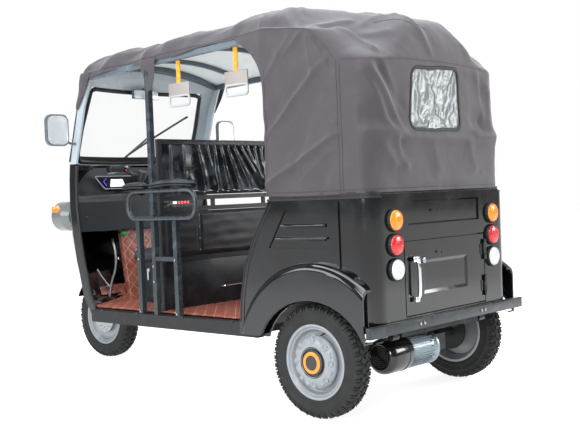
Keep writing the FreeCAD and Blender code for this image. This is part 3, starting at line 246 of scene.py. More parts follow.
def rotate(piece, pivot, axis, degrees):
    """Turns a piece's mesh about a point."""
    pivot = Vector(pivot)
    turn = Matrix.Rotation(math.radians(degrees), 4, Vector(axis))
    piece.data.transform(Matrix.Translation(pivot) @ turn @ Matrix.Translation(-pivot))
    return piece


def drum(a, b, radius, sides=24, bevel=0.0):
    """A round bar, disc or hexagon head from a to b, its rims rounded over."""
    deselect()
    a, b = Vector(a), Vector(b)
    bpy.ops.mesh.primitive_cone_add(vertices=sides, radius1=radius, radius2=radius,
                                    depth=(b - a).length, location=(a + b) / 2)
    piece = bpy.context.object
    piece.rotation_euler = (b - a).to_track_quat("Z", "Y").to_euler()
    settle(piece)
    if bevel:
        axis = (b - a).normalized()
        edges_where(piece, lambda middle, along: abs(along.dot(axis)) < 0.2)
        bpy.ops.mesh.bevel(offset=bevel, segments=2, profile=0.5, affect="EDGES")
        done()
    return piece


def ring(centre, axis, radius, thick, sides):
    """A ring of round wire about an axis."""
    deselect()
    bpy.ops.mesh.primitive_torus_add(major_segments=sides, minor_segments=8,
                                     major_radius=radius, minor_radius=thick, location=centre)
    piece = bpy.context.object
    piece.rotation_euler = Vector(axis).to_track_quat("Z", "Y").to_euler()
    return settle(piece)


def tube(points, radius, closed=False, smooth_run=False, sides=6):
    """A round tube along points, as a bevelled curve made a mesh; an open one is capped."""
    deselect()
    bpy.ops.curve.primitive_bezier_circle_add()
    curve = bpy.context.object
    data = curve.data
    data.splines.clear()
    spline = data.splines.new("NURBS" if smooth_run else "POLY")
    spline.points.add(len(points) - 1)
    for knot, point in zip(spline.points, points):
        knot.co = (*point, 1)
    spline.use_cyclic_u = closed
    if smooth_run:
        spline.order_u = 3
        spline.use_endpoint_u = not closed
        spline.resolution_u = 8
    data.dimensions, data.bevel_depth, data.bevel_resolution = "3D", radius, max(1, sides // 3)
    data.use_fill_caps = not closed
    bpy.ops.object.convert(target="MESH")
    piece = bpy.context.object
    return settle(smooth(piece, 50))


def lathe(outline, centre, axis, steps=64, closed=False):
    """Spins an outline of (out, along) pairs about an axis through a centre."""
    deselect()
    axis = Vector(axis).normalized()
    out = axis.orthogonal().normalized()
    centre = Vector(centre)
    bpy.ops.mesh.primitive_circle_add(vertices=3)
    piece = bpy.context.object
    points = [centre + out * r + axis * h for r, h in outline]
    runs = [(i, i + 1) for i in range(len(points) - 1)]
    if closed:
        runs.append((len(points) - 1, 0))
    mesh = piece.data
    mesh.clear_geometry()
    mesh.from_pydata(points, runs, [])
    piece.matrix_world = Matrix.Identity(4)
    activate(piece)
    bpy.ops.object.mode_set(mode="EDIT")
    bpy.ops.mesh.select_all(action="SELECT")
    bpy.ops.mesh.spin(steps=steps, angle=math.tau, center=centre, axis=axis)
    bpy.ops.mesh.select_all(action="SELECT")
    bpy.ops.mesh.remove_doubles(threshold=0.00005)
    bpy.ops.mesh.normals_make_consistent(inside=False)
    done()
    return piece


def surface(name, rows, close_u=False, close_v=False, caps=False):
    """A mesh of quads through rows of points, its first and last rows filled if asked."""
    count, wide = len(rows), len(rows[0])
    points = [p for row in rows for p in row]
    faces = []
    for i in range(count if close_u else count - 1):
        for j in range(wide if close_v else wide - 1):
            a, b = i * wide + j, i * wide + (j + 1) % wide
            c, d = ((i + 1) % count) * wide + (j + 1) % wide, ((i + 1) % count) * wide + j
            faces.append((a, b, c, d))
    if caps:
        faces += [tuple(range(wide))[::-1], tuple(range((count - 1) * wide, count * wide))]
    mesh = bpy.data.meshes.new(name)
    mesh.from_pydata([tuple(p) for p in points], [], faces)
    mesh.update()
    piece = bpy.data.objects.new(name, mesh)
    bpy.context.scene.collection.objects.link(piece)
    return smooth(piece, 60)


def repeated(piece, moves=(), turns=()):
    """The piece joined with copies of it, each moved, or turned about a pivot."""
    deselect()
    copies = []
    for change in (*moves, *turns):
        other = piece.copy()
        other.data = piece.data.copy()
        bpy.context.scene.collection.objects.link(other)
        if change in moves:
            other.data.transform(Matrix.Translation(Vector(change)))
        else:
            rotate(other, *change)
        copies.append(other)
    return join(piece.name, [piece, *copies])


def put(piece, name, finish, body=CHASSIS, slot=None, stands_for=(), angle=35):
    """Names a finished piece, gives it its material and lets it ride on its body."""
    if angle:
        smooth(piece, angle)
    piece.name = piece.data.name = name
    piece.data.materials.clear()
    piece.data.materials.append(finish)
    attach(piece, body)
    if stands_for:
        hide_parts(*stands_for)
    return piece


def between(x, table):
    """Straight-line reading of a table of (x, value) pairs."""
    if x <= table[0][0]:
        return table[0][1]
    for (xa, a), (xb, b) in zip(table, table[1:]):
        if x <= xb:
            return a + (b - a) * (x - xa) / (xb - xa)
    return table[-1][1]


def ease(x, low, high):
    """A soft step from 0 to 1 between low and high."""
    t = min(1.0, max(0.0, (x - low) / (high - low)))
    return t * t * (3 - 2 * t)


def rounded(corners, radius, steps=8):
    """A closed outline with its corners rounded."""
    outline = []
    for i, corner in enumerate(corners):
        c = Vector(corner)
        a, b = Vector(corners[i - 1]), Vector(corners[(i + 1) % len(corners)])
        start, end = c + (a - c).normalized() * radius, c + (b - c).normalized() * radius
        for k in range(steps + 1):
            t = k / steps
            outline.append(start * (1 - t) ** 2 + c * 2 * t * (1 - t) + end * t * t)
    return outline


def dense(points, step, closed=False):
    """Points along a line no further apart than a step."""
    points = [Vector(p) for p in points]
    out = []
    for a, b in zip(points, points[1:] + (points[:1] if closed else [])):
        count = max(1, math.ceil((b - a).length / step))
        out += [a.lerp(b, k / count) for k in range(count)]
    return out if closed else out + [points[-1]]


def runs_of(points):
    """How far along a line each of its points is."""
    runs = [0.0]
    for a, b in zip(points, points[1:]):
        runs.append(runs[-1] + (b - a).length)
    return runs


def mirror_path(points):
    """A path on the other side of the vehicle."""
    return [(-x, y, z) for x, y, z in points]


def grid(name, wide, high, spot):
    """A sheet whose point at shares (u, v) is spot(u, v)."""
    return surface(name, [[spot(i / wide, j / high) for i in range(wide + 1)]
                          for j in range(high + 1)])


def swept(name, path, section, up=(0, 0, 1), closed=False):
    """A section of (aside, above) points carried along a path; an open one is capped."""
    path, rows = [Vector(p) for p in path], []
    count = len(path)
    for i, point in enumerate(path):
        after = path[(i + 1) % count] if closed or i < count - 1 else point
        before = path[i - 1] if closed or i else point
        along = (after - before).normalized()
        aside = along.cross(Vector(up)).normalized()
        above = aside.cross(along)
        rows.append([point + aside * a + above * b for a, b in section])
    return face_outwards(surface(name, rows, close_u=closed, close_v=True, caps=not closed))


def node_skin(name):
    """A CAD node's surface, for measuring against."""
    mesh = nodes[name].data
    place = nodes[name].matrix_world
    return BVHTree.FromPolygons([place @ v.co for v in mesh.vertices],
                                [tuple(f.vertices) for f in mesh.polygons])


def area_of(piece):
    """A piece's area in square metres."""
    return sum(f.area for f in piece.data.polygons)


def flat_uv(piece):
    """UVs in metres: each face laid flat along the way it mostly looks."""
    mesh = piece.data
    layer = mesh.uv_layers.active or mesh.uv_layers.new(name="laid_flat")
    for face in mesh.polygons:
        n = face.normal
        way = max(range(3), key=lambda i: abs(n[i]))
        a, b = ((1, 2), (0, 2), (0, 1))[way]
        for loop in face.loop_indices:
            p = mesh.vertices[mesh.loops[loop].vertex_index].co
            layer.data[loop].uv = (p[a], p[b])


def thickened(sheet, thickness, offset):
    """Lays a sheet's UVs flat, gives it its thickness and returns its area in square metres."""
    flat_uv(sheet)
    size = area_of(sheet)
    finish_with(sheet, "SOLIDIFY", thickness=thickness, offset=offset)
    return size


# ---------------- finishes
def colour(code):
    """An sRGB hex value as linear red, green, blue and 1."""
    parts = [int(code[i:i + 2], 16) / 255 for i in (1, 3, 5)]
    return (*[c / 12.92 if c <= 0.04045 else ((c + 0.055) / 1.055) ** 2.4 for c in parts], 1)


def add(tree, kind, inputs=None, **settings):
    """A node with its settings and its inputs, each a value or the socket that feeds it."""
    node = tree.nodes.new(kind)
    for key, value in settings.items():
        setattr(node, key, value)
    for key, value in (inputs or {}).items():
        if isinstance(value, bpy.types.NodeSocket):
            tree.links.new(value, node.inputs[key])
        else:
            node.inputs[key].default_value = value
    return node


class Finish:
    """A material, its shader, and where its patterns are read."""

    def __init__(self, name, base, rough, on_surface=False, **sockets):
        self.material = bpy.data.materials.new(name)
        self.material.use_nodes = True
        self.tree = self.material.node_tree
        self.shader = self.tree.nodes["Principled BSDF"]
        self.shader.inputs["Base Color"].default_value = colour(base)
        self.shader.inputs["Roughness"].default_value = rough
        for key, value in sockets.items():
            self.shader.inputs[key.replace("_", " ")].default_value = value
        place = add(self.tree, "ShaderNodeTexCoord")
        self.where = place.outputs["UV" if on_surface else "Object"]
        self.heights = []

    def noise(self, size_mm, detail=4, stretch=None):
        """Cloudy noise whose lumps are about size_mm across."""
        where = self.where
        if stretch:
            where = add(self.tree, "ShaderNodeMapping", {"Vector": where, "Scale": stretch}).outputs[0]
        return add(self.tree, "ShaderNodeTexNoise", {"Vector": where, "Scale": 1000 / size_mm,
                   "Detail": detail, "Roughness": 0.55}).outputs["Fac"]

    def cells(self, size_mm, feature="F1", scatter=1.0):
        """Cells about size_mm across, such as leather grain or grit."""
        return add(self.tree, "ShaderNodeTexVoronoi", {"Vector": self.where, "Scale": 1000 / size_mm,
                   "Randomness": scatter}, feature=feature).outputs["Distance"]

    def ramp(self, source, low, high, dark=0.0, light=1.0):
        """The source stretched from low..high to dark..light."""
        return add(self.tree, "ShaderNodeMapRange", {"Value": source, "From Min": low,
                   "From Max": high, "To Min": dark, "To Max": light}).outputs["Result"]

    def maths(self, how, a, b):
        """One operation on two sockets or values."""
        return add(self.tree, "ShaderNodeMath", {0: a, 1: b}, operation=how).outputs[0]

    def axis(self, name):
        """One coordinate of the place that the patterns are read at."""
        return add(self.tree, "ShaderNodeSeparateXYZ", {0: self.where}).outputs[name]

    def tint(self, share, other):
        """Mixes another colour in by a share."""
        now = self.shader.inputs["Base Color"]
        first = now.links[0].from_socket if now.is_linked else tuple(now.default_value)
        mix = add(self.tree, "ShaderNodeMix", data_type="RGBA")
        for key, value in (("Factor", share), ("A", first), ("B", colour(other))):
            socket = next(s for s in mix.inputs if s.name == key and s.enabled)
            if isinstance(value, bpy.types.NodeSocket):
                self.tree.links.new(value, socket)
            else:
                socket.default_value = value
        out = next(s for s in mix.outputs if s.enabled)
        self.tree.links.new(out, now)
        return self

    def gloss(self, source, low, high, smooth_end, rough_end):
        """Roughness that runs with a pattern."""
        self.tree.links.new(self.ramp(source, low, high, smooth_end, rough_end),
                            self.shader.inputs["Roughness"])
        return self

    def relief(self, source, height_mm, strength=1.0):
        """Bump of a real height."""
        self.heights.append((source, height_mm, strength))
        return self

    def ready(self):
        """The material, its reliefs laid one on another."""
        normal = None
        for source, height, strength in self.heights:
            feed = {"Height": source, "Distance": height / 1000, "Strength": strength}
            if normal is not None:
                feed["Normal"] = normal
            normal = add(self.tree, "ShaderNodeBump", feed).outputs["Normal"]
        if normal is not None:
            self.tree.links.new(normal, self.shader.inputs["Normal"])
        return self.material


def enamel(name, base, dust, rough=0.07):
    """Sprayed two-pack enamel on steel sheet: a deep gloss, faint orange peel and road dust."""
    paint = Finish(name, base, rough, Coat_Weight=0.35, Coat_Roughness=0.05, IOR=1.5)
    film = paint.noise(160, 6)
    paint.tint(paint.ramp(film, 0.45, 0.85, 0.0, 0.2), dust)
    paint.gloss(film, 0.4, 0.8, rough, rough + 0.14)
    return paint.relief(paint.noise(5, 2), 0.05).ready()


def powder_coat(name, base, worn, rough=0.42):
    """Powder coat baked on tube: a low sheen with a fine pebbled skin, rubbed paler in places."""
    paint = Finish(name, base, rough, IOR=1.5)
    pale_patches = paint.noise(60, 6)
    paint.tint(paint.ramp(pale_patches, 0.55, 0.8, 0.0, 0.45), worn)
    paint.gloss(pale_patches, 0.35, 0.75, rough - 0.08, rough + 0.14)
    return paint.relief(paint.noise(1.6, 2), 0.08).ready()


def moulded(name, base, rough=0.5, grain=1.8, depth=0.12, **sockets):
    """Injection-moulded plastic: an even colour with a fine etched grain."""
    plastic = Finish(name, base, rough, **sockets)
    plastic.gloss(plastic.noise(40, 3), 0.3, 0.7, rough - 0.06, rough + 0.08)
    return plastic.relief(plastic.cells(grain), depth).ready()


def bare_metal(name, base, rough=0.3, brush=None, depth=0.03):
    """Bare metal, turned, cast or plated: its marks run the way the tool went."""
    metal = Finish(name, base, rough, Metallic=1.0)
    marks = metal.noise(2.5, 3, stretch=brush)
    metal.gloss(marks, 0.3, 0.7, rough * 0.7, rough * 1.3)
    return metal.relief(marks, depth).ready()


def vinyl_hide(name, base, sheen, rough, grain, depth):
    """Coated upholstery vinyl: embossed hide grain, soft gloss, and paler patches that are partly rubbing
    wear and partly a painted sheen.
    """
    hide = Finish(name, base, rough, IOR=1.48)
    pale_patches = hide.noise(90, 5)
    # painted sheen: patches tinted towards the sheen colour stand in for highlights, and partly for
    # rubbing wear
    hide.tint(hide.ramp(pale_patches, 0.45, 0.8, 0.0, 0.5), sheen)
    hide.gloss(pale_patches, 0.3, 0.75, rough - 0.06, rough + 0.16)
    hide.relief(hide.cells(grain, "DISTANCE_TO_EDGE"), depth, 0.6)
    return hide.relief(hide.noise(25, 3), 0.6, 0.5).ready()


def canvas(name, base, shade, fade):
    """Coated polyester canvas: a plain weave, chalky and dusty, with a soft nap at the edge.
    The thread is 0.6 mm apart and is drawn at 3 mm so that it shows."""
    cloth = Finish(name, base, 0.62, on_surface=True, Sheen_Weight=0.2, Sheen_Roughness=0.5,
                   Specular_IOR_Level=0.4)
    thread_mm = 3
    across, along = [
        add(cloth.tree, "ShaderNodeTexWave", {"Vector": cloth.where, "Distortion": 0.6, "Detail": 1.0,
            "Scale": 2000 / thread_mm / math.tau}, bands_direction=way).outputs["Fac"] for way in "XY"]
    weave = cloth.maths("MAXIMUM", across, along)
    cloud = cloth.noise(150, 6)
    cloth.tint(cloth.ramp(cloud, 0.35, 0.75, 0.0, 0.6), shade)
    cloth.tint(cloth.ramp(cloth.noise(14, 3), 0.5, 0.8, 0.0, 0.3), fade)
    # painted shade: the hollows between the threads of the weave are darkened towards the shade colour
    cloth.tint(cloth.ramp(weave, 0.2, 0.0, 0.0, 0.35), shade)
    cloth.relief(weave, 0.35, 0.6)
    return cloth.relief(cloth.noise(30, 4), 1.2, 0.5).ready()


def tread_rubber():
    """Vulcanised tyre rubber: matt, bloomed grey with dust, finely lined by the mould."""
    rubber = Finish("vulcanised_rubber", "#0a0b0c", 0.72, IOR=1.52)
    dust = rubber.noise(55, 5)
    rubber.tint(rubber.ramp(dust, 0.42, 0.75, 0.0, 0.35), "#2c2c2b")
    return rubber.relief(rubber.noise(1.5, 2), 0.1).ready()


def lens(name, base, deep):
    """Moulded acrylic lens: clear colour over a grid of 5.5 mm pips on the inside."""
    acrylic = Finish(name, base, 0.08, Coat_Weight=0.6, Coat_Roughness=0.03, IOR=1.49,
                     Subsurface_Weight=0.15, Subsurface_Scale=0.01)
    pips = acrylic.cells(5.5, scatter=0.0)
    acrylic.tint(acrylic.ramp(pips, 0.2, 0.6, 0.0, 0.7), deep)
    return acrylic.relief(acrylic.ramp(pips, 0.0, 0.6, 1.0, 0.0), 0.6, 0.5).ready()


def clear_sheet(name, base, rough, alpha, ripple=0.0, on_surface=False):
    """See-through sheet, glass or vinyl: gloss over a faint body colour, rippled if flexible."""
    sheet = Finish(name, base, rough, on_surface=on_surface, IOR=1.5, Alpha=alpha)
    sheet.shader.inputs["Specular IOR Level"].default_value = 0.7
    streak = sheet.noise(220, 4)
    sheet.gloss(streak, 0.35, 0.75, rough, rough + 0.07)
    if ripple:
        sheet.relief(sheet.noise(60, 5), ripple)
    return sheet.ready()


def quilting():
    """Red-brown quilted vinyl: glossy diamonds with a pale thread down their seams.
    The seams are 52 mm apart on the slant, with a stitch every 6 mm, which is 8.4 mm on the sum
    of both axes."""
    half_stitch = 0.0042
    hide = Finish("quilted_vinyl", "#8e4a3c", 0.34, on_surface=True, IOR=1.48)
    u, v = hide.axis("X"), hide.axis("Y")
    hide.tint(hide.ramp(hide.noise(70, 5), 0.4, 0.75, 0.0, 0.6), "#b57a6c")
    for run, across in ((hide.maths("ADD", u, v), hide.maths("SUBTRACT", u, v)),
                        (hide.maths("SUBTRACT", u, v), hide.maths("ADD", u, v))):
        phase = hide.maths("PINGPONG", run, QUILT / 2)
        seam = hide.ramp(phase, 0.0012, 0.0022, 1.0, 0.0)
        stitch = hide.ramp(hide.maths("PINGPONG", across, half_stitch), 0.0012, 0.0018, 0.0, 1.0)
        hide.tint(hide.maths("MULTIPLY", seam, stitch), "#e6cdbd")
    hide.relief(hide.cells(2.5, "DISTANCE_TO_EDGE"), 0.2, 0.5)
    return hide.ready()


# how far apart the quilting's seams are along the vehicle and across it
QUILT = 0.052 * math.sqrt(2)

BLACK = enamel("black_enamel", "#0a0b0d", "#33363a")
PALE = enamel("pale_grey_enamel", "#a9b4bb", "#8b979d", 0.25)
SATIN = powder_coat("black_powder_coat", "#1a1d20", "#4d565b")
BUMPER = powder_coat("bumper_powder_coat", "#2b3135", "#5d686d", 0.34)
TUBE = powder_coat("blue_grey_powder_coat", "#4f5c66", "#8496a1", 0.36)
POST = powder_coat("post_powder_coat", "#2a3136", "#69757c", 0.26)
UNDER = powder_coat("underbody_paint", "#141618", "#3a3833", 0.6)
HOUSING = powder_coat("wheel_arch_paint", "#231d1d", "#5a2f2a", 0.55)
WHEEL = enamel("silver_wheel_enamel", "#868b90", "#5c5c5b", 0.3)
RUBBER = tread_rubber()
SEAL = moulded("extruded_rubber", "#101113", 0.55, 2.5, 0.08)
DASH = moulded("grained_dash_plastic", "#2b3033", 0.46, 2.2, 0.2)
GLOSS_PLASTIC = moulded("smooth_black_plastic", "#0f1012", 0.18, 6.0, 0.02, Coat_Weight=0.3)
GREY_PLASTIC = moulded("pale_grey_plastic", "#8f9496", 0.34, 2.5, 0.06)
PLATE = moulded("frosted_grip_plastic", "#8f8985", 0.4, 2.5, 0.08)
WHITE_PLASTIC = moulded("white_nylon", "#a6a9aa", 0.38, 3.0, 0.06)
CHROME = bare_metal("chrome_plate", "#dfe3e6", 0.08, depth=0.005)
STEEL = bare_metal("turned_steel", "#a9abad", 0.32, (1, 8, 8))
ALUMINIUM = bare_metal("cast_aluminium", "#9aa4ab", 0.42, depth=0.15)
# the second colour of each canvas mottles it at random and, as painted shade, darkens the hollows of its
# weave
CANVAS = canvas("taupe_canvas", "#3d383d", "#322d32", "#4a444a")
THREAD = canvas("dark_thread", "#2b272b", "#1e1b1e", "#3a363a")
# the third colour of each vinyl fills its pale patches: partly rubbing wear, partly a painted sheen
LINING = vinyl_hide("pale_roof_lining", "#eef4f4", "#fbfdfd", 0.6, 5.0, 0.15)
VINYL = vinyl_hide("black_vinyl", "#14181d", "#59646e", 0.14, 3.2, 0.06)
GRAINED = vinyl_hide("grained_black_vinyl", "#15171b", "#40464c", 0.4, 5.0, 0.5)
SEATING = vinyl_hide("seat_vinyl", "#24272b", "#575d62", 0.38, 3.4, 0.3)
CLEAR_VINYL = clear_sheet("clear_vinyl", "#7f8688", 0.04, 0.72, 9.0, True)
GLASS = clear_sheet("toughened_glass", "#dfeceb", 0.02, 0.07)
AMBER = lens("amber_acrylic", "#ff9d00", "#d96c00")
RED = lens("red_acrylic", "#e8262a", "#9c0d12")
WHITE = lens("clear_acrylic", "#e9edf0", "#a9b0b6")
MIRROR = moulded("silvered_glass", "#cfd4d8", 0.12, 6.0, 0.0, Metallic=0.35)
MIRROR_CASE = moulded("grey_mirror_case", "#596166", 0.3, 3.0, 0.04)
POD = moulded("grey_lamp_housing", "#666a6b", 0.22, 3.0, 0.03, Coat_Weight=0.3)
STRAP = canvas("amber_webbing", "#f0a800", "#c98500", "#ffc43a")
ORANGE = enamel("orange_enamel", "#ff8a1c", "#c96508", 0.3)
QUILTED = quilting()

# the finish of each CAD node that shows as it is
CARRIED = {
    BLACK: ["front_mudguard", "front_cowl", "body_sides", "rear_panel", "hatch_door",
            "right_side_panel"],
    PALE: ["windscreen_frame"],
    SATIN: ["fork", "partition_frame", "bench_base", "rear_springs", "driver_seat_box", "hood_posts"],
    BUMPER: ["bumper"],
    POST: ["door_posts"],
    TUBE: ["roof_frame"],
    UNDER: ["floor_pan", "chassis_frame", "rear_axle"],
    HOUSING: ["wheel_housings"],
    WHEEL: ["rear_rim_left", "rear_rim_right", "front_rim", "hub_cap_left", "hub_cap_right"],
    RUBBER: ["rear_tyre_left", "rear_tyre_right", "front_tyre"],
    DASH: ["dashboard", "handlebar", "battery_pack"],
    GLOSS_PLASTIC: ["instrument_cluster", "tail_lamp_rings"],
    POD: ["headlamp_pods"],
    MIRROR_CASE: ["mirror_shells"],
    WHITE_PLASTIC: ["grip_plates"],
    CHROME: ["hatch_handle"],
    STEEL: ["brake_disc"],
    ALUMINIUM: ["motor"],
    LINING: ["roof_lining"],
    VINYL: ["partition_panels"],
    GRAINED: ["arm_pads"],
    SEATING: ["driver_seat", "bench_cushions"],
    CLEAR_VINYL: ["rear_window"],
    CANVAS: ["canopy"],
    GLASS: ["windscreen_glass"],
    AMBER: ["amber_lenses"],
    RED: ["red_lenses"],
    WHITE: ["clear_lenses"],
    MIRROR: ["mirror_glasses"],
    STRAP: ["grip_straps"],
    QUILTED: ["quilted_mats"],
}


def finish_nodes():
    """Gives every CAD node its material."""
    for finish, names in CARRIED.items():
        for name in names:
            data = nodes[name].data
            if not data.materials:
                data.materials.append(finish)
            for index in range(len(data.materials)):
                data.materials[index] = finish


finish_nodes()


def floor():
    """The stage's pale floor, lit a little from within so that it runs into the room."""
    deselect()
    bpy.ops.mesh.primitive_plane_add(size=60)
    piece = bpy.context.object
    stage_floor = Finish("studio_floor", "#a9a9a9", 0.85, Emission_Color=(1, 1, 1, 1),
                         Emission_Strength=0.84)
    stage_floor.tint(stage_floor.ramp(stage_floor.noise(900, 3), 0.3, 0.7, 0.0, 0.12), "#9d9d9d")
    put(piece, "floor", stage_floor.ready(), angle=0)
    del piece["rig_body"]
    piece.parent = None


floor()


# ---------------- canvas roof and hood
def rail_top(y):
    """The height of the roof's side rails, which rise to the rear."""
    return 1.690 + 0.042 * (y + 0.560) / 1.338


# the hood's half width, and where its front edge, corner seam, hem and ridge are
HOOD_HALF, HOOD_FRONT, SEAM_Y, HEM, RIDGE_Z = 0.552, 0.778, 1.226, 0.976, 1.549
# the roof's half width, how much wider the hood is, and the height of their edge where they meet
ROOF_HALF, HOOD_WIDER, EDGE_Z = 0.524, 0.028, 1.745
# the back as (z, y), the top seen from the side as (y, z), the roof across as (x, height over the
# rail) and the hood across as (x, z)
BACK_PROFILE = [(0.97, 1.393), (1.05, 1.388), (1.12, 1.391), (1.19, 1.399), (1.232, 1.408),
                (1.252, 1.400), (1.30, 1.393), (1.40, 1.390), (1.50, 1.385), (1.545, 1.388),
                (1.565, 1.396)]
SIDE_PROFILE = [(-0.775, 1.690), (-0.766, 1.722), (-0.730, 1.768), (-0.640, 1.800),
                (0.0, 1.803), (0.52, 1.824), (0.70, 1.837), (0.778, 1.849), (0.96, 1.834),
                (1.12, 1.802), (1.29, 1.770), (1.345, 1.690), (1.385, 1.588), (1.40, 1.560)]
ROOF_ACROSS = [(0.0, 0.122), (0.160, 0.118), (0.424, 0.100), (0.490, 0.078), (0.516, 0.024),
               (0.524, -0.004)]
HOOD_ACROSS = [(0.0, 1.866), (0.180, 1.860), (0.422, 1.842), (0.494, 1.822), (0.528, 1.792),
               (0.544, 1.735), (0.552, 1.560)]
# the ridge in plan, round the hood's corner: share of the way out, x and y
RIDGE_PLAN = [(1.0, (0.552, 1.226)), (0.965, (0.549, 1.268)), (0.91, (0.532, 1.322)),
              (0.84, (0.496, 1.361)), (0.74, (0.430, 1.380)), (0.5, (0.28, 1.386)),
              (0.0, (0.0, 1.388))]
# the columns of points across the cloth, as shares of its half width
SHARES = [1.0, 0.997, 0.985, 0.965, 0.94, 0.91, 0.87, 0.82, 0.76, 0.69, 0.61, 0.52, 0.43, 0.34,
          0.25, 0.165, 0.08, 0.0]
SHARES = SHARES + [-q for q in SHARES[-2::-1]]


def hip_height(x, y):
    """The plane of the hip, which falls to the side and to the rear and sags less on the right."""
    lean_out, lean_back, upright, lift = 0.0484, 0.0533, 0.0732, 0.018 if x < 0 else 0
    return 1.781 - (lean_out * (abs(x) - 0.45) + lean_back * (y - 1.0)) / upright + lift


def soft_least(a, b, width=0.012):
    """The lesser of two, rounded where they meet."""
    gap = max(0.0, width - abs(a - b)) / width
    return min(a, b) - gap * gap * width / 4


def hem_height(y):
    """The roof cloth's lower edge along the rail, drawn up between its fixings."""
    pull = 0.010 * math.sin(max(0.0, y + 0.5) * 9.0) ** 2 + 0.018 * ease(y, 0.12, 0.42)
    return rail_top(y) - 0.020 + pull


def roof_rows():
    """The roof's cloth from its front edge back to the hood, row by row."""
    rows = []
    front = [-0.773, -0.7715, -0.768, -0.761, -0.750, -0.735, -0.715, -0.690, -0.660]
    for y in front + [-0.625 + 0.045 * k for k in range(31)]:
        row = []
        grow = ease(y, 0.64, 0.79)
        top = between(y, SIDE_PROFILE)
        for share in SHARES:
            half = ROOF_HALF + HOOD_WIDER * grow
            x = share * half
            across = between(abs(share) * ROOF_HALF, ROOF_ACROSS) + rail_top(y)
            z = across + (between(abs(x), HOOD_ACROSS) - across) * grow
            if abs(share) > 0.99:
                z = hem_height(y) if abs(share) == 1 else rail_top(y) + 0.008
                z += (EDGE_Z - z) * grow
            z = soft_least(z, top + 0.02 * (1 - share * share) * ease(y, -0.7, -0.4), 0.02)
            z -= 0.032 * ease(-y, 0.38, 0.50) * ease(abs(x), 0.40, 0.50) * (abs(share) < 0.98)
            back = 0.135 * abs(share) ** 5 * ease(-y, 0.42, 0.75)
            row.append(Vector((x, y + back, max(z, 1.668 if y < -0.7 else 0))))
        rows.append(row)
    return rows


def plan_point(share, reach):
    """A row of the hood in plan: straight at the hood's front, round the corners at its ridge."""
    front = Vector((share * HOOD_HALF, HOOD_FRONT))
    x = between(-abs(share), [(-a, p[0]) for a, p in RIDGE_PLAN])
    y = between(-abs(share), [(-a, p[1]) for a, p in RIDGE_PLAN])
    ridge = Vector((math.copysign(1, share) * x, y))
    return front.lerp(ridge, reach)


def hood_rows():
    """The hood's top, from the roof back to its ridge."""
    rows, count = [], 19
    for k in range(1, count + 1):
        reach = k / count
        row = []
        for share in SHARES:
            x, y = plan_point(share, reach)
            end_y = HOOD_FRONT + (SEAM_Y - HOOD_FRONT) * reach
            edge = between(end_y, [(HOOD_FRONT, EDGE_Z), (1.082, 1.705), (SEAM_Y, RIDGE_Z)])
            z = soft_least(between(abs(x), HOOD_ACROSS), between(y, SIDE_PROFILE), 0.03)
            z = soft_least(z, hip_height(x, y), 0.02)
            if abs(share) > 0.99:
                z = edge + (0.012 if abs(share) < 1 else 0) * (1 - reach)
            if k == count:
                z = RIDGE_Z + 0.024 * (1 - abs(share) ** 1.5)
            row.append(Vector((x, y, max(z, edge))))
        rows.append(row)
    return rows


def back_rows(ridge):
    """The hood's back, from its ridge down to the hem."""
    rows, count = [], 26
    for k in range(1, count + 1):
        t = k / count
        row = []
        for share, start in zip(SHARES, ridge):
            z = start.z + (HEM - start.z) * t
            x, y = plan_point(share, 1.0)
            bow = between(z, BACK_PROFILE) - 1.388
            widen = 1 + 0.045 * ease(z, 1.5, 1.2) * (abs(share) < 0.93) * abs(share)
            row.append(Vector((x * widen, y + bow * ease(1 - abs(share), 0.0, 0.25), z)))
        rows.append(row)
    return rows


FLAP_STEPS = 22


def flap(edge, side):
    """The side of the hood: from its top seam, hip and corner seam down to the front edge and hem."""
    front = [(0.530, 0.600, 1.712), (0.541, 0.690, 1.668), (0.550, 0.762, 1.596),
             (0.553, 0.790, 1.520), (0.5535, 0.792, 1.30), (0.553, 0.790, 1.10),
             (0.552, 0.789, HEM)]
    hem = [(0.552, 0.789, HEM), (0.554, 1.0, HEM - 0.004), (0.552, SEAM_Y, HEM)]
    path = [Vector((side * x, y, z)) for x, y, z in front + hem[1:]]
    lengths, along = runs_of(path), runs_of(edge)
    rows = []
    for point, run in zip(edge, along):
        where = (run / along[-1]) ** 0.9 * lengths[-1]
        k = max(i for i in range(len(lengths)) if lengths[i] <= where + 1e-9)
        if k >= len(path) - 1:
            target = path[-1]
        else:
            target = path[k].lerp(path[k + 1], (where - lengths[k]) / (lengths[k + 1] - lengths[k]))
        rows.append([point.lerp(target, q / FLAP_STEPS) for q in range(FLAP_STEPS + 1)])
    return rows


# creases: start, end, height and half width in metres, as the cloth is pulled between its fixings,
# on the sides in (y, z), on the back in (x, z) and on the top in (x, y)
SIDE_CREASES = [
    ((0.790, 1.238), (1.172, 1.568), 0.007, 0.010), ((0.791, 1.030), (1.226, 1.243), 0.010, 0.013),
    ((0.84, 1.70), (1.02, 1.52), 0.004, 0.020), ((1.07, 1.69), (1.10, 1.50), 0.006, 0.014),
    ((1.10, 1.66), (1.20, 1.50), -0.007, 0.010), ((1.04, 1.70), (0.93, 1.60), 0.005, 0.010),
    ((0.80, 1.50), (0.98, 1.70), 0.004, 0.014), ((0.82, 1.34), (1.05, 1.24), -0.006, 0.050),
    ((0.95, 1.10), (1.15, 1.02), -0.006, 0.045), ((0.86, 1.14), (1.20, 1.32), -0.004, 0.040),
    ((1.14, 1.40), (1.226, 1.28), 0.005, 0.014), ((1.00, 1.04), (1.20, 1.18), 0.003, 0.012),
]
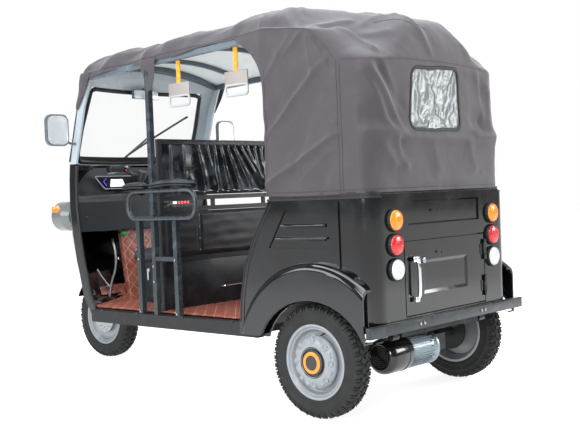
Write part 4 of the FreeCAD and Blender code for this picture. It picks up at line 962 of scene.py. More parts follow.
BACK_CREASES = [
    ((0.55, 1.240), (-0.50, 1.230), 0.011, 0.020), ((0.56, 1.300), (-0.50, 1.290), -0.008, 0.040),
    ((0.540, 1.530), (0.400, 1.252), 0.010, 0.016), ((0.500, 1.535), (0.330, 1.262), 0.011, 0.016),
    ((0.455, 1.535), (0.300, 1.330), -0.008, 0.018), ((0.42, 1.54), (0.285, 1.275), 0.007, 0.014),
    ((0.38, 1.225), (0.28, 1.075), 0.008, 0.014), ((0.34, 1.215), (0.30, 1.10), -0.006, 0.016),
    ((-0.31, 1.540), (-0.37, 1.300), 0.007, 0.014), ((-0.365, 1.500), (-0.345, 1.260), -0.007, 0.018),
    ((-0.42, 1.480), (-0.44, 1.260), 0.006, 0.012), ((0.46, 1.20), (0.36, 1.09), 0.005, 0.020),
    ((0.10, 1.200), (0.02, 1.05), 0.004, 0.030), ((-0.20, 1.205), (-0.28, 1.06), 0.005, 0.026),
    ((0.20, 1.02), (-0.35, 1.03), 0.004, 0.020), ((0.05, 1.24), (0.22, 1.30), 0.004, 0.012),
]
TOP_CREASES = [
    ((0.54, 0.782), (-0.54, 0.782), 0.006, 0.008),
    ((0.16, 1.06), (0.05, 1.38), 0.007, 0.014), ((0.52, 1.06), (0.33, 1.16), 0.009, 0.016),
    ((0.50, 1.10), (0.36, 1.26), -0.009, 0.014), ((0.47, 1.14), (0.40, 1.35), 0.009, 0.014),
    ((0.43, 1.20), (0.24, 1.31), 0.006, 0.014), ((0.35, 1.19), (-0.25, 1.27), 0.004, 0.010),
    ((-0.10, 1.14), (-0.30, 1.38), 0.006, 0.018), ((-0.28, 1.10), (-0.48, 1.34), 0.007, 0.020),
    ((0.42, 0.82), (0.50, 1.02), 0.005, 0.014), ((0.30, 0.80), (0.46, 0.98), 0.004, 0.014),
    ((0.50, 0.56), (0.40, 0.78), 0.006, 0.014), ((0.44, 0.52), (0.28, 0.74), 0.004, 0.018),
    ((0.50, -0.62), (0.30, -0.44), 0.006, 0.014), ((0.52, -0.46), (0.42, -0.20), 0.006, 0.018),
    ((0.53, -0.33), (0.47, 0.02), -0.006, 0.016), ((0.50, 0.05), (0.44, 0.30), 0.005, 0.016),
    ((0.51, 0.30), (0.46, 0.62), -0.005, 0.018), ((0.52, -0.10), (0.46, -0.02), 0.006, 0.012),
]


# how much taller, wider and sharper the creases are made than a round bump of their table's sizes
CREASE_TALL, CREASE_WIDE, CREASE_POWER = 1.9, 1.55, 1.4


def crease_sum(u, v, creases):
    """How far all the creases lift the cloth at a point, fading towards their ends."""
    total = 0.0
    for (ua, va), (ub, vb), height, width in creases:
        du, dv = ub - ua, vb - va
        t = ((u - ua) * du + (v - va) * dv) / (du * du + dv * dv)
        if not -0.2 < t < 1.2:
            continue
        near = math.hypot(u - ua - t * du, v - va - t * dv) / CREASE_WIDE
        if near < 4 * width:
            fade = ease(t, -0.12, 0.15) * ease(1 - t, -0.12, 0.15)
            total += CREASE_TALL * height * math.exp(-(near / width) ** CREASE_POWER) * fade
    return total


def canopy():
    """One skin of canvas: roof, hood, back and side flaps, creased where it is pulled.
    Returns its outside, to lay other pieces on."""
    roof, hood = roof_rows(), hood_rows()
    rows = roof + hood + back_rows(hood[-1])
    strip = surface("canvas_strip", rows)
    start = next(i for i, row in enumerate(roof) if row[0].y > 0.585)
    sides = []
    for index, side in ((0, 1), (-1, -1)):
        edge = [row[index] for row in rows[start:]]
        grid = flap(edge, side)
        sides.append(surface("canvas_flap", grid if side < 0 else grid[::-1]))
    piece = join("canopy_cloth", [strip, *sides])
    finish_with(piece, "WELD", merge_threshold=0.0006)
    face_outwards(piece)
    finish_with(piece, "SMOOTH", factor=0.5, iterations=2)
    finish_with(piece, "SUBSURF", levels=1, render_levels=1)
    finish_with(piece, "SUBSURF", levels=1, render_levels=1, subdivision_type="SIMPLE")
    mesh = piece.data
    normals = [v.normal.copy() for v in mesh.vertices]
    for vertex, normal in zip(mesh.vertices, normals):
        p = vertex.co
        lift = 0.0
        if abs(normal.x) > 0.6 and p.z < EDGE_Z:
            lift += crease_sum(p.y, p.z, SIDE_CREASES)
        if normal.y > 0.3 and p.z < 1.60:
            lift += crease_sum(p.x, p.z, BACK_CREASES) * ease(normal.y, 0.3, 0.7)
            out_of_window = max(abs(p.x - 0.024) / 0.25, abs(p.z - 1.395) / 0.16)
            lift *= ease(out_of_window, 0.95, 1.25)
        if p.z > 1.56:
            lift += (crease_sum(p.x, p.y, TOP_CREASES) - 0.002) * ease(p.z, 1.56, 1.60)
        soft = noise.noise(p * 9.0) * 0.0055 + noise.noise(p * 26.0 + Vector((3, 1, 2))) * 0.0014
        vertex.co = p + normal * (lift + soft)
    finish_with(piece, "SMOOTH", factor=0.5, iterations=1)
    skin = BVHTree.FromPolygons([v.co.copy() for v in mesh.vertices],
                                [tuple(f.vertices) for f in mesh.polygons])
    faces_where(piece, lambda c, n: c.y > 1.3 and all(
        (Vector((c.x + dx, c.z + dz)) - WINDOW_MIDDLE).length < window_reach(c.x + dx, c.z + dz)
        for dx in (-0.003, 0.003) for dz in (-0.003, 0.003)))
    bpy.ops.mesh.delete(type="FACE")
    done()
    finish_with(piece, "DECIMATE", ratio=FACES_KEPT)
    size = thickened(piece, 0.0022, -1.0)
    put(piece, "canopy_cloth", CANVAS, slot="cloth", stands_for=("canopy",), angle=60)
    return skin


# the rear window in (x, z), and a plane just behind the hood from which it is laid on the cloth
WINDOW_CORNERS = [(0.219, 1.524), (-0.156, 1.541), (-0.148, 1.256), (0.266, 1.251)]
WINDOW_MIDDLE = Vector((0.044, 1.392))
WINDOW = dense(rounded(WINDOW_CORNERS, 0.055), 0.012, True)
BEHIND = 1.42
# the share of the canopy's faces that is kept, so that it has under 200,000 triangles
FACES_KEPT = 0.58


def window_reach(x, z):
    """How far the window's edge is from its middle, towards a point."""
    way = Vector((x, z)) - WINDOW_MIDDLE
    if way.length < 1e-6:
        return 1.0
    way.normalize()
    nearest = max(WINDOW, key=lambda p: (p - WINDOW_MIDDLE).normalized().dot(way))
    return (nearest - WINDOW_MIDDLE).length


def on_skin(skin, points, lift):
    """Points moved onto the cloth and lifted off it."""
    out = []
    for point in points:
        spot, normal, _, _ = skin.find_nearest(point)
        out.append(spot + normal * lift)
    return out


def rear_window_sheet(skin):
    """Clear vinyl, creased by folding, in a taped opening of the hood's back."""
    rows, rings = [], 22
    for k in range(rings + 1):
        share = k / rings
        ring_points = []
        for p in WINDOW:
            spot = WINDOW_MIDDLE + (p - WINDOW_MIDDLE) * share
            base = on_skin(skin, [Vector((spot.x, BEHIND, spot.y))], 0.0)[0]
            u, v = spot.x * 7 + spot.y * 3.2, spot.y * 2.0 - spot.x * 1.1
            fold = 1 - abs(noise.noise(Vector((u * 2.2, v * 2.2, 0.3)))) * 3.2
            fold += 0.5 * (1 - abs(noise.noise(Vector((u * 5.1, v * 6.2, 4.3)))) * 3)
            fold += 0.3 * noise.noise(Vector((spot.x * 60, spot.y * 50, 1)))
            out = fold * 0.0052 * ease(1 - share, 0.0, 0.15) - 0.004
            ring_points.append(base + Vector((0, out, 0)))
        rows.append(ring_points)
    rows[0] = [sum(rows[1], Vector()) / len(rows[1])] * len(rows[1])
    sheet = surface("rear_window_sheet", rows, close_v=True)
    finish_with(sheet, "WELD", merge_threshold=0.0002)
    return sheet


# the hood's top seam, its corner seam sewn twice, the flap's front seam and the roof's edge seam
LEFT_SEAMS = [
    [(0.552, 0.79, 1.742), (0.552, 0.95, 1.724), (0.552, 1.082, 1.703), (0.552, 1.16, 1.628),
     (0.552, 1.229, 1.546)],
    [(0.553, 1.229, 1.54), (0.553, 1.229, 0.98)], [(0.551, 1.246, 1.53), (0.551, 1.246, 0.98)],
    [(0.553, 0.806, 1.56), (0.554, 0.806, 1.2), (0.553, 0.804, 0.98)],
    [(0.515, -0.610, 1.700), (0.524, -0.5, 1.706), (0.526, 0.0, 1.722), (0.527, 0.3, 1.736),
     (0.53, 0.55, 1.742), (0.548, 0.775, 1.742)],
]
HEM_SEAM = [(0.553, 0.80, 0.995), (0.554, 1.0, 0.993), (0.553, 1.226, 0.995), (0.532, 1.325, 0.995),
            (0.496, 1.361, 0.995), (0.43, 1.385, 0.996), (0.28, 1.39, 0.996), (0.0, 1.392, 0.996)]
RIDGE_SEAM = [(0.550, 1.245, 1.548), (0.548, 1.290, 1.550), (0.535, 1.325, 1.550),
              (0.50, 1.360, 1.548), (0.43, 1.385, 1.552), (0.28, 1.389, 1.560), (0.0, 1.392, 1.565)]
FRONT_SEAM = [(0.546, 0.781, 1.755), (0.46, 0.778, 1.80), (0.30, 0.778, 1.835), (0.0, 0.778, 1.856)]
TOP_SEAM = [(0.25, 1.193, 1.70), (0.12, 1.25, 1.70), (0.0, 1.292, 1.70)]


def canopy_seams(skin):
    """The lines of stitching, lying on the cloth."""
    lines = LEFT_SEAMS + [mirror_path(line) for line in LEFT_SEAMS]
    lines += [half + mirror_path(half)[-2::-1] for half in (HEM_SEAM, RIDGE_SEAM, FRONT_SEAM)]
    lines.append(TOP_SEAM)
    threads = [tube(on_skin(skin, dense(line, 0.010), 0.0004), 0.0011, sides=3) for line in lines]
    put(join("seams", threads), "canopy_stitching", THREAD, slot="cloth", angle=60)


def canopy_window(skin):
    """The window's sheet and the binding sewn round it."""
    sheet = rear_window_sheet(skin)
    size = thickened(sheet, 0.0006, 0.0)
    put(sheet, "rear_window_vinyl", CLEAR_VINYL, slot="clear_vinyl", stands_for=("rear_window",), angle=80)
    edge = on_skin(skin, [Vector((p.x, BEHIND, p.y)) for p in WINDOW], 0.0)
    section = [(-0.0075, -0.0035), (0.0075, -0.0035), (0.0078, 0.0006), (0.006, 0.0022), (0.0, 0.0030),
               (-0.006, 0.0022), (-0.0078, 0.0006)]
    binding = swept("binding", edge, section, up=(0, 1, 0), closed=True)
    flat_uv(binding)
    put(binding, "rear_window_binding", SEAL, angle=50)


def tongue(root, end, wide_root, wide_end):
    """A strap of the roof cloth turned down over a post, its end drawn in; and its area."""
    root, end = Vector(root), Vector(end)
    rows = []
    steps = 12
    for k in range(steps + 1):
        t = k / steps
        spot = root.lerp(end, t)
        half = (wide_root + (wide_end - wide_root) * t) / 2 * (1 - ease(t, 0.88, 1.0) * 0.35)
        wave = 0.003 * math.sin(t * 9)
        rows.append([spot + Vector((wave + 0.0045 * (1 - q * q) - 0.003 * t, q * half, 0))
                     for q in (-1, -0.66, -0.33, 0, 0.33, 0.66, 1)])
    piece = surface("tongue", rows)
    area = thickened(piece, 0.0024, 0.0)
    finish_with(piece, "SUBSURF", levels=1, render_levels=1)
    return piece, area


# where each starts on the rail and ends on its post, and how wide it is there
TONGUES = [((0.529, -0.043, 1.712), (0.531, -0.032, 1.545), 0.135, 0.050),
           ((0.520, -0.585, 1.702), (0.508, -0.700, 1.507), 0.100, 0.030),
           ((-0.529, -0.043, 1.712), (-0.531, -0.032, 1.600), 0.120, 0.050),
           ((-0.520, -0.585, 1.702), (-0.512, -0.660, 1.520), 0.100, 0.030)]


def canopy_tongues():
    """The four straps at the door and front posts."""
    tongues, tongue_area = zip(*[tongue(*sizes) for sizes in TONGUES])
    straps = put(join("tongues", tongues), "canopy_tongues", CANVAS, slot="cloth", angle=60)
    min(sum(tongue_area), 0.084)


canopy_skin = canopy()
canopy_seams(canopy_skin)
canopy_window(canopy_skin)
canopy_tongues()


def body_flange():
    """The turned top edge of the rear body, which the hood's hem meets."""
    half = [(0.551, 0.800, 0.955), (0.552, 0.86, 0.955), (0.552, 1.295, 0.955), (0.547, 1.325, 0.955),
            (0.532, 1.353, 0.955), (0.508, 1.372, 0.955), (0.475, 1.380, 0.955), (0.0, 1.380, 0.955)]
    path = dense(half, 0.05)[:-1] + dense(mirror_path(half)[::-1], 0.05)
    section = [(-0.009, 0.0), (0.007, 0.0), (0.0085, 0.004), (0.0085, 0.009), (0.0065, 0.0115),
               (-0.0040, 0.0120), (-0.0045, 0.030), (-0.0090, 0.030)]
    put(swept("flange", path, section), "body_top_flange", SEAL, angle=40)


body_flange()


# ---------------- wheels
# each wheel's centre and the side of the vehicle that its face is on
WHEELS = {"rear_wheel_left": ((0.545, 1.078, 0.25), 1), "rear_wheel_right": ((-0.545, 1.078, 0.25), -1),
          "front_wheel": ((0.0, -1.165, 0.25), 1)}
WHEEL_NODES = {"rear_wheel_left": ("rear_tyre_left", "rear_rim_left", "hub_cap_left"),
               "rear_wheel_right": ("rear_tyre_right", "rear_rim_right", "hub_cap_right"),
               "front_wheel": ("front_tyre", "front_rim")}


AXLE = (1, 0, 0)


def around(piece, centre, count):
    """Copies of a piece about a wheel's axle, itself the first."""
    return repeated(piece, turns=[(centre, AXLE, 360 * k / count) for k in range(1, count)])


def turned(outline, body, steps=64, closed=False):
    """Spins an outline about a wheel's axle, each point its radius and how far out it is."""
    centre, side = WHEELS[body]
    return lathe([(r, side * out) for r, out in outline], centre, AXLE, steps, closed)


def tread_lug(centre, low_x, high_x, length, skew, side, lead=0.0):
    """A block of tread at the top of the wheel, bent down over the shoulder."""
    cx, cy, cz = centre
    near, far = sorted((cx + side * low_x, cx + side * high_x))
    lug = block((near, cy - length / 2, cz + 0.237), (far, cy + length / 2, cz + 0.2505), 0.0016, 1)
    for vertex in lug.data.vertices:
        out = abs(vertex.co.x - cx)
        vertex.co.z -= 0.000004 * (out * 1000) ** 2 * 0.5 + 5.5 * max(0.0, out - 0.036) ** 1.5
        vertex.co.y += lead + skew * (out - 0.03)
    return lug


def tyre(body):
    """The tyre, its sidewalls ribbed and its tread in rows of blocks, and the valve."""
    centre, side = WHEELS[body]
    half = [(0.160, 0.0405), (0.166, 0.0435), (0.1685, 0.0455), (0.171, 0.0452), (0.176, 0.0468),
            (0.178, 0.0482), (0.180, 0.0472), (0.192, 0.0492), (0.206, 0.0500), (0.2075, 0.0508),
            (0.2095, 0.0508), (0.211, 0.0497), (0.220, 0.0488), (0.229, 0.0462), (0.235, 0.0425),
            (0.2395, 0.035), (0.242, 0.020), (0.243, 0.0)]
    inner = [(0.158, 0.030), (0.158, -0.030)]
    outline = [(r, -h) for r, h in half] + half[-2::-1] + inner
    carcass = lathe(outline, centre, AXLE, 96, closed=True)
    lugs = []
    for way in (1, -1):
        lugs += [around(tread_lug(centre, 0.0275, 0.0495, 0.0175, 0.20, way), centre, 40),
                 around(tread_lug(centre, 0.0345, 0.0500, 0.006, 0.1, way, 0.0215), centre, 40),
                 around(tread_lug(centre, 0.0035, 0.0240, 0.0190, -0.45, way, 0.011 * way), centre, 40)]
    piece = join("tyre", [carcass, *lugs])
    put(piece, body + "_tyre", RUBBER, body, "tyre_rubber", WHEEL_NODES[body][:1], 40)
    valve = drum(Vector(centre) + Vector((side * 0.030, 0.05, 0.128)),
                 Vector(centre) + Vector((side * 0.052, 0.047, 0.121)), 0.0035, 12, 0.0008)
    put(valve, body + "_valve", SEAL, body)


def rim(body):
    """The pressed steel rim with its disc, and the hub with its five nuts."""
    centre, side = WHEELS[body]
    outline = [(0.155, -0.047), (0.163, -0.0475), (0.1665, -0.0455), (0.166, -0.042), (0.158, -0.038),
               (0.156, -0.030), (0.140, -0.020), (0.138, 0.012), (0.156, 0.030), (0.158, 0.038),
               (0.166, 0.042), (0.1665, 0.0455), (0.163, 0.0475), (0.157, 0.0465), (0.1535, 0.043),
               (0.1515, 0.036), (0.1475, 0.034), (0.144, 0.0355), (0.1415, 0.033), (0.139, 0.022),
               (0.131, 0.016), (0.120, 0.0155), (0.060, 0.017), (0.032, 0.017), (0.032, 0.008),
               (0.060, 0.009), (0.120, 0.007), (0.132, 0.006), (0.134, -0.018), (0.150, -0.036)]
    shell = turned(outline, body, 96, closed=True)
    put(shell, body + "_rim", WHEEL, body, "wheel_steel", WHEEL_NODES[body][1:2], 50)
    hub = turned([(0.0, 0.024), (0.026, 0.024), (0.030, 0.021), (0.031, 0.010), (0.031, -0.030),
                  (0.028, -0.034), (0.0, -0.034)], body)
    nuts = drum(Vector(centre) + Vector((side * 0.016, 0, 0.050)),
                Vector(centre) + Vector((side * 0.026, 0, 0.050)), 0.0085, 6, 0.001)
    put(join("hub", [hub, around(nuts, centre, 5)]), body + "_hub", STEEL, body)


def wheel_cover(body):
    """The moulded cover: eight nut pockets round a dark ring, and a domed cap with an orange band."""
    centre, side = WHEELS[body]
    c = Vector(centre)
    outline = [(0.064, 0.058), (0.068, 0.0595), (0.086, 0.0570), (0.103, 0.0510), (0.1135, 0.0435),
               (0.1175, 0.0355), (0.118, 0.0310), (0.115, 0.0305), (0.064, 0.040)]
    plate = turned(outline, body, 96, closed=True)
    pocket = tube([c + Vector((side * a, math.sin(t) * 0.0155, r + 0.101 - math.cos(t) * 0.0155))
                   for t, a, r in ((math.pi, 0.0395, 0.004), (2.5, 0.0420, 0.0), (2.0, 0.0455, 0.0),
                                   (1.57, 0.0505, 0), (1.0, 0.0545, 0), (0.5, 0.0560, 0), (0, 0.0565, 0),
                                   (-0.5, 0.0560, 0), (-1.0, 0.0545, 0), (-1.57, 0.0505, 0),
                                   (-2.0, 0.0455, 0), (-2.5, 0.0420, 0.0))], 0.0030, True, True)
    nut = drum(c + Vector((side * 0.042, 0, 0.101)), c + Vector((side * 0.0560, 0, 0.101)), 0.0105, 6,
               0.0014)
    rib = block(c + Vector((side * 0.050, -0.013, 0.091)) - Vector((0.004, 0, 0)),
                c + Vector((side * 0.050, 0.013, 0.108)) + Vector((0.004, 0, 0)), 0.003)
    rotate(rib, c + Vector((side * 0.05, 0, 0.10)), (0, 1, 0), 22 * side)
    rotate(rib, centre, AXLE, 22.5)
    cover = join("cover", [plate, around(join("pocket", [pocket, nut, rib]), centre, 8)])
    put(cover, body + "_cover", WHEEL, body, "hub_paint", WHEEL_NODES[body][2:], 45)
    for name, finish, outline in (
            ("_cover_ring", GLOSS_PLASTIC, [(0.0, 0.052), (0.050, 0.052), (0.0635, 0.052),
                                            (0.0655, 0.0590), (0.0685, 0.0605), (0.0700, 0.0580)]),
            ("_cap", DASH, [(0.0, 0.0690), (0.020, 0.0684), (0.040, 0.0665), (0.052, 0.0635),
                            (0.0565, 0.060), (0.057, 0.052)]),
            ("_cap_band", ORANGE, [(0.0330, 0.0668), (0.0335, 0.0690), (0.0350, 0.0694),
                                   (0.0460, 0.0676), (0.0475, 0.0668), (0.0478, 0.0640)])):
        put(turned(outline, body, 72), body + name, finish, body)


for wheel in WHEELS:
    tyre(wheel)
    rim(wheel)
for wheel in ("rear_wheel_left", "rear_wheel_right"):
    wheel_cover(wheel)


# ---------------- motor, bumper and underside
def drive_motor():
    """The motor, lying across behind the axle: finned, with a smooth bell at its left end."""
    centre = (0.0, 1.210, 0.238)
    c = Vector(centre)
    bell = lathe([(0.0, 0.296), (0.052, 0.296), (0.058, 0.300), (0.068, 0.296), (0.0785, 0.283),
                  (0.0815, 0.266), (0.0815, 0.142), (0.079, 0.136), (0.070, 0.134), (0.0, 0.134)],
                 centre, AXLE, 64)
    rings = [ring(c + Vector((0.2968, 0, 0)), AXLE, r, 0.0022, 48)
             for r in (0.010, 0.019, 0.028, 0.037, 0.046)]
    collar = ring(c + Vector((0.170, 0, 0)), AXLE, 0.0810, 0.0022, 64)
    put(join("bell", [bell, *rings, collar]), "motor_bell", GLOSS_PLASTIC)
    body = lathe([(0.0, 0.134), (0.072, 0.134), (0.072, -0.040), (0.078, -0.044), (0.0815, -0.050),
                  (0.0815, -0.066), (0.078, -0.070), (0.0, -0.070)], centre, AXLE, 64)
    fin = block(c + Vector((-0.020, -0.0016, 0.069)), c + Vector((0.132, 0.0016, 0.0795)), 0.0008, 1)
    tie = block(c + Vector((-0.046, -0.0040, 0.069)), c + Vector((-0.018, 0.0040, 0.0790)), 0.0012, 1)
    put(join("body", [body, around(fin, centre, 44), around(tie, centre, 18)]), "motor_body",
        ALUMINIUM, slot="aluminium", stands_for=("motor",), angle=40)


drive_motor()


def channel_bumper():
    """A channel of pressed steel with its back open, and the two straps that hold it."""
    low, high, front, back, half = 0.375, 0.423, 1.394, 1.418, 0.626
    face = block((-half, back - 0.003, low), (half, back, high), 0.001)
    top = block((-half, front, high - 0.003), (half, back, high), 0.001)
    foot = block((-half, front, low), (half, back, low + 0.003), 0.001)
    ends = [block((x, front, low), (x + 0.003, back, high), 0.001) for x in (-half, half - 0.003)]
    straps = [block((x - 0.02, 1.349, low + 0.008), (x + 0.02, front + 0.004, high - 0.008), 0.002)
              for x in (-0.268, 0.268)]
    put(join("bumper", [face, top, foot, *ends, *straps]), "rear_bumper", BUMPER, slot="black_tube",
        stands_for=("bumper",))
    bolt = drum((-0.268, 1.417, 0.399), (-0.268, 1.4235, 0.399), 0.0075, 6, 0.001)
    put(repeated(bolt, moves=[(0.03, 0, 0), (0.536, 0, 0), (0.506, 0, 0)]), "bumper_bolts", STEEL)


channel_bumper()


# ---------------- soft goods of the cabin
def fold_height(x, z):
    """How far the partition's vinyl stands out where it hangs in folds from its top rail."""
    drop = 1.295 - z
    total = 0.0016 * noise.noise(Vector((x * 22, z * 16, 2)))
    for at, slant, size in FOLDS:
        off = x - (at - slant * drop)
        width = 0.011 + 0.035 * drop
        total += size * math.exp(-(off / width) ** 2) * ease(drop, 0.0, 0.05) * ease(z, 1.006, 1.06)
    return total


# the folds: where each starts along the top rail, its slant and its height
FOLDS = [(0.40, -0.05, 0.0035), (0.31, 0.04, 0.0030), (0.215, 0.20, 0.0100), (0.150, 0.30, 0.0090),
         (0.095, 0.10, 0.0120), (0.045, 0.22, 0.0095), (0.000, 0.38, 0.0110), (-0.045, 0.55, 0.0100),
         (-0.095, 0.75, 0.0110), (-0.150, 0.60, 0.0095), (-0.210, 0.30, 0.0120), (-0.275, 0.12, 0.0100),
         (-0.335, -0.15, 0.0110), (-0.400, -0.35, 0.0085)]


def partition_sheets():
    """The loose glossy vinyl above, the padded panel in the middle, the board at the bottom."""
    half, wide = 0.462, 0.924
    vinyl_top, vinyl_tall, pad_top, pad_tall = 1.2955, 0.2925, 0.9165, 0.2395

    def upper(u, v):
        x, z = half - wide * u, vinyl_top - vinyl_tall * v
        over = 0.0135 * (1 - ease(v, 0.0, 0.06)) + 0.010 * ease(v, 0.94, 1.0)
        return Vector((x, -0.0505 + over + fold_height(x, z) * 1.15, z))
    loose = grid("loose", 150, 34, upper)
    size = thickened(loose, 0.0016, 0.0)
    put(loose, "partition_vinyl", VINYL, slot="black_vinyl", stands_for=("partition_panels",), angle=70)

    def padded(u, v):
        x, z = half - wide * u, pad_top - pad_tall * v
        edge = min(u, 1 - u) * wide
        depth = ease(min(edge, v * 0.24, (1 - v) * 0.24), 0.0, 0.022)
        strip = 1 - ease(abs(x - 0.22), 0.010, 0.020)
        crease = 0.0005 * math.sin(z * 120 + x * 6) + 0.0016 * noise.noise(Vector((x * 11, z * 25, 5)))
        return Vector((x, -0.0445 + (0.0105 + crease) * depth * (1 - 0.45 * strip), z))
    front = grid("padded", 110, 34, padded)
    back = grid("padded_back", 110, 34,
                lambda u, v: Vector((half - wide * u, -0.058, pad_top - pad_tall * v)))
    panel = join("panel", [front, back])
    activate(panel)
    bpy.ops.object.mode_set(mode="EDIT")
    bpy.ops.mesh.select_mode(type="EDGE")
    bpy.ops.mesh.select_all(action="DESELECT")
    bpy.ops.mesh.select_non_manifold()
    bpy.ops.mesh.bridge_edge_loops()
    bpy.ops.mesh.select_all(action="SELECT")
    bpy.ops.mesh.normals_make_consistent(inside=False)
    done()
    put(panel, "partition_pad", GRAINED, slot="black_vinyl", angle=60)
    strap = block((0.211, -0.041, 0.690), (0.229, -0.0375, 0.904), 0.0012)
    put(strap, "partition_strip", SATIN)
    rivet = drum((0.220, -0.038, 0.705), (0.220, -0.0345, 0.705), 0.0045, 12, 0.0015)
    put(repeated(rivet, moves=[(0, 0, 0.062), (0, 0, 0.124), (0, 0, 0.186)]), "partition_rivets", STEEL)
    board = block((-half, -0.057, 0.397), (half, -0.047, 0.652), 0.002)
    put(board, "partition_board", GRAINED, slot="black_vinyl")
    pull = tube([(0.060, -0.047, 0.492), (0.052, -0.030, 0.494), (0.030, -0.026, 0.495),
                 (-0.060, -0.026, 0.495), (-0.082, -0.030, 0.494), (-0.090, -0.047, 0.492)], 0.0045,
                smooth_run=True)
    put(pull, "partition_pull", CHROME)


partition_sheets()


def quilt(u, v):
    """The puffed height of quilting whose seams lie where the stitches are drawn."""
    a = abs(math.sin(math.pi * (u + v) / QUILT))
    b = abs(math.sin(math.pi * (u - v) / QUILT))
    return 0.0042 * (a * b) ** 0.45


def inside_cowl(cowl, x, y, z):
    """The y of a point, held back to just inside the front shell."""
    hit = cowl.ray_cast(Vector((x, -0.55, z)), Vector((0, -1, 0)), 0.7)[0]
    return y if hit is None else max(y, hit.y + 0.009)


# the floor mat's front end, its length and its rows of faces, and the height of its edge
MAT_FRONT, MAT_LONG, MAT_ROWS = -0.795, 1.48, 260
MAT_TOP = 0.3935


def quilted_floor():
    """The quilted mat, everywhere as wide as the floor pan that it lies on."""
    skin, cowl = node_skin("floor_pan"), node_skin("front_cowl")

    def half_width(y):
        hits = [skin.ray_cast(Vector((sign * 0.30, y, 0.3845)), Vector((sign, 0, 0)), 0.4)
                for sign in (1, -1)]
        reach = [abs(h[0].x) for h in hits if h[0] is not None]
        return min(min(reach) if reach else 0.40, 0.486)
    shape = [half_width(MAT_FRONT + MAT_LONG * k / MAT_ROWS) for k in range(MAT_ROWS + 1)]
    shape = [min(shape[max(0, k - 2):k + 3]) for k in range(MAT_ROWS + 1)]

    def spot(u, v):
        y = MAT_FRONT + MAT_LONG * v
        half = shape[round(v * MAT_ROWS)] - 0.002
        x = half * (1 - 2 * u)
        rim_in = ease(min(half - abs(x), y - MAT_FRONT, 0.685 - y), 0.0, 0.012)
        y = inside_cowl(cowl, x, y, 0.395)
        return Vector((x, y, MAT_TOP + quilt(x, y) * rim_in + 0.0015 * rim_in))
    mat = grid("mat", 140, MAT_ROWS, spot)
    size = thickened(mat, 0.005, -1.0)
    put(mat, "quilted_floor_mat", QUILTED, slot="quilt", stands_for=("quilted_mats",), angle=50)


def column_cover():
    """The quilted gaiter that boxes in the steering column, stitched down its two corners."""
    profile = [(-0.125, -0.040), (-0.1245, -0.020), (-0.124, -0.006), (-0.120, -0.001), (-0.112, 0.0),
               (-0.06, 0.001), (0.0, 0.0015), (0.06, 0.001), (0.112, 0.0), (0.120, -0.001),
               (0.124, -0.006), (0.1245, -0.020), (0.125, -0.040)]
    path = dense([(a, b, 0.0) for a, b in profile], 0.006)
    runs = runs_of(path)
    foot, tall, steps = 0.400, 0.411, 72
    rows = []
    for k in range(steps + 1):
        z = foot + tall * k / steps
        y0 = -0.771 - 0.068 * k / steps
        row = []
        for i, (p, run) in enumerate(zip(path, runs)):
            before, after = path[max(0, i - 1)], path[min(len(path) - 1, i + 1)]
            normal = Vector((-(after - before).y, (after - before).x, 0)).normalized()
            puff = quilt(run, z) * ease(min(run, runs[-1] - run), 0.0, 0.02)
            corner = min(abs(run - 0.045), abs(runs[-1] - run - 0.045))
            puff *= ease(corner, 0.002, 0.014)
            row.append(Vector((p.x, p.y + y0, z)) + normal * puff)
        rows.append(row)
    piece = surface("cover", rows)
    mesh = piece.data
    layer = mesh.uv_layers.new(name="laid_flat")
    wide = len(path)
    for loop in mesh.loops:
        layer.data[loop.index].uv = (runs[loop.vertex_index % wide],
                                     foot + tall * (loop.vertex_index // wide) / steps)
    activate(piece)
    bpy.ops.object.mode_set(mode="EDIT")
    bpy.ops.mesh.select_all(action="SELECT")
    bpy.ops.mesh.flip_normals()
    done()
    finish_with(piece, "SOLIDIFY", thickness=0.003, offset=-1.0)
    put(piece, "quilted_column_cover", QUILTED, slot="quilt", angle=50)


TOE_LONG, TOE_RISE = 0.125, 0.085


def toe_board():
    """The mat's front end, turned up against the inside of the front shell."""
    skin = node_skin("front_cowl")

    def half_width(y, z):
        hit = skin.ray_cast(Vector((0.15, y, z)), Vector((1, 0, 0)), 0.5)[0]
        return min(0.47, hit.x - 0.004) if hit is not None else 0.33

    def spot(u, v):
        y, z = -0.782 - TOE_LONG * v, 0.3985 + TOE_RISE * v ** 1.3
        half = half_width(y, z)
        x = half * (1 - 2 * u)
        y = inside_cowl(skin, x, y, z)
        return Vector((x, y, z + quilt(x, y * 1.25) * ease(min(half - abs(x), 1), 0, 0.012)))
    piece = grid("toe", 120, 26, spot)
    size = thickened(piece, 0.003, -1.0)
    put(piece, "quilted_toe_board", QUILTED, slot="quilt", angle=50)


quilted_floor()
column_cover()
toe_board()


def puffed(piece, cap):
    """Fills a pad with air as cloth, each point moved no further than a cap."""
    last_frame = 20
    finish_with(piece, "REMESH", mode="VOXEL", voxel_size=0.006, adaptivity=0.0)
    before = [v.co.copy() for v in piece.data.vertices]
    activate(piece)
    cloth = piece.modifiers.new("air", "CLOTH")
    cloth.settings.quality = 5
    cloth.settings.mass = 0.3
    cloth.settings.use_pressure = True
    cloth.settings.uniform_pressure_force = 4.0
    cloth.settings.effector_weights.gravity = 0.0
    cloth.settings.tension_stiffness = cloth.settings.compression_stiffness = 15
    cloth.point_cache.frame_start, cloth.point_cache.frame_end = 1, last_frame
    for step in range(1, last_frame + 1):
        bpy.context.scene.frame_set(step)
    bpy.ops.object.modifier_apply(modifier=cloth.name)
    bpy.context.scene.frame_set(1)
    for vertex, old in zip(piece.data.vertices, before):
        moved = vertex.co - old
        if moved.length > cap:
            vertex.co = old + moved * (cap / moved.length)
    finish_with(piece, "SMOOTH", factor=0.5, iterations=3)
    return piece


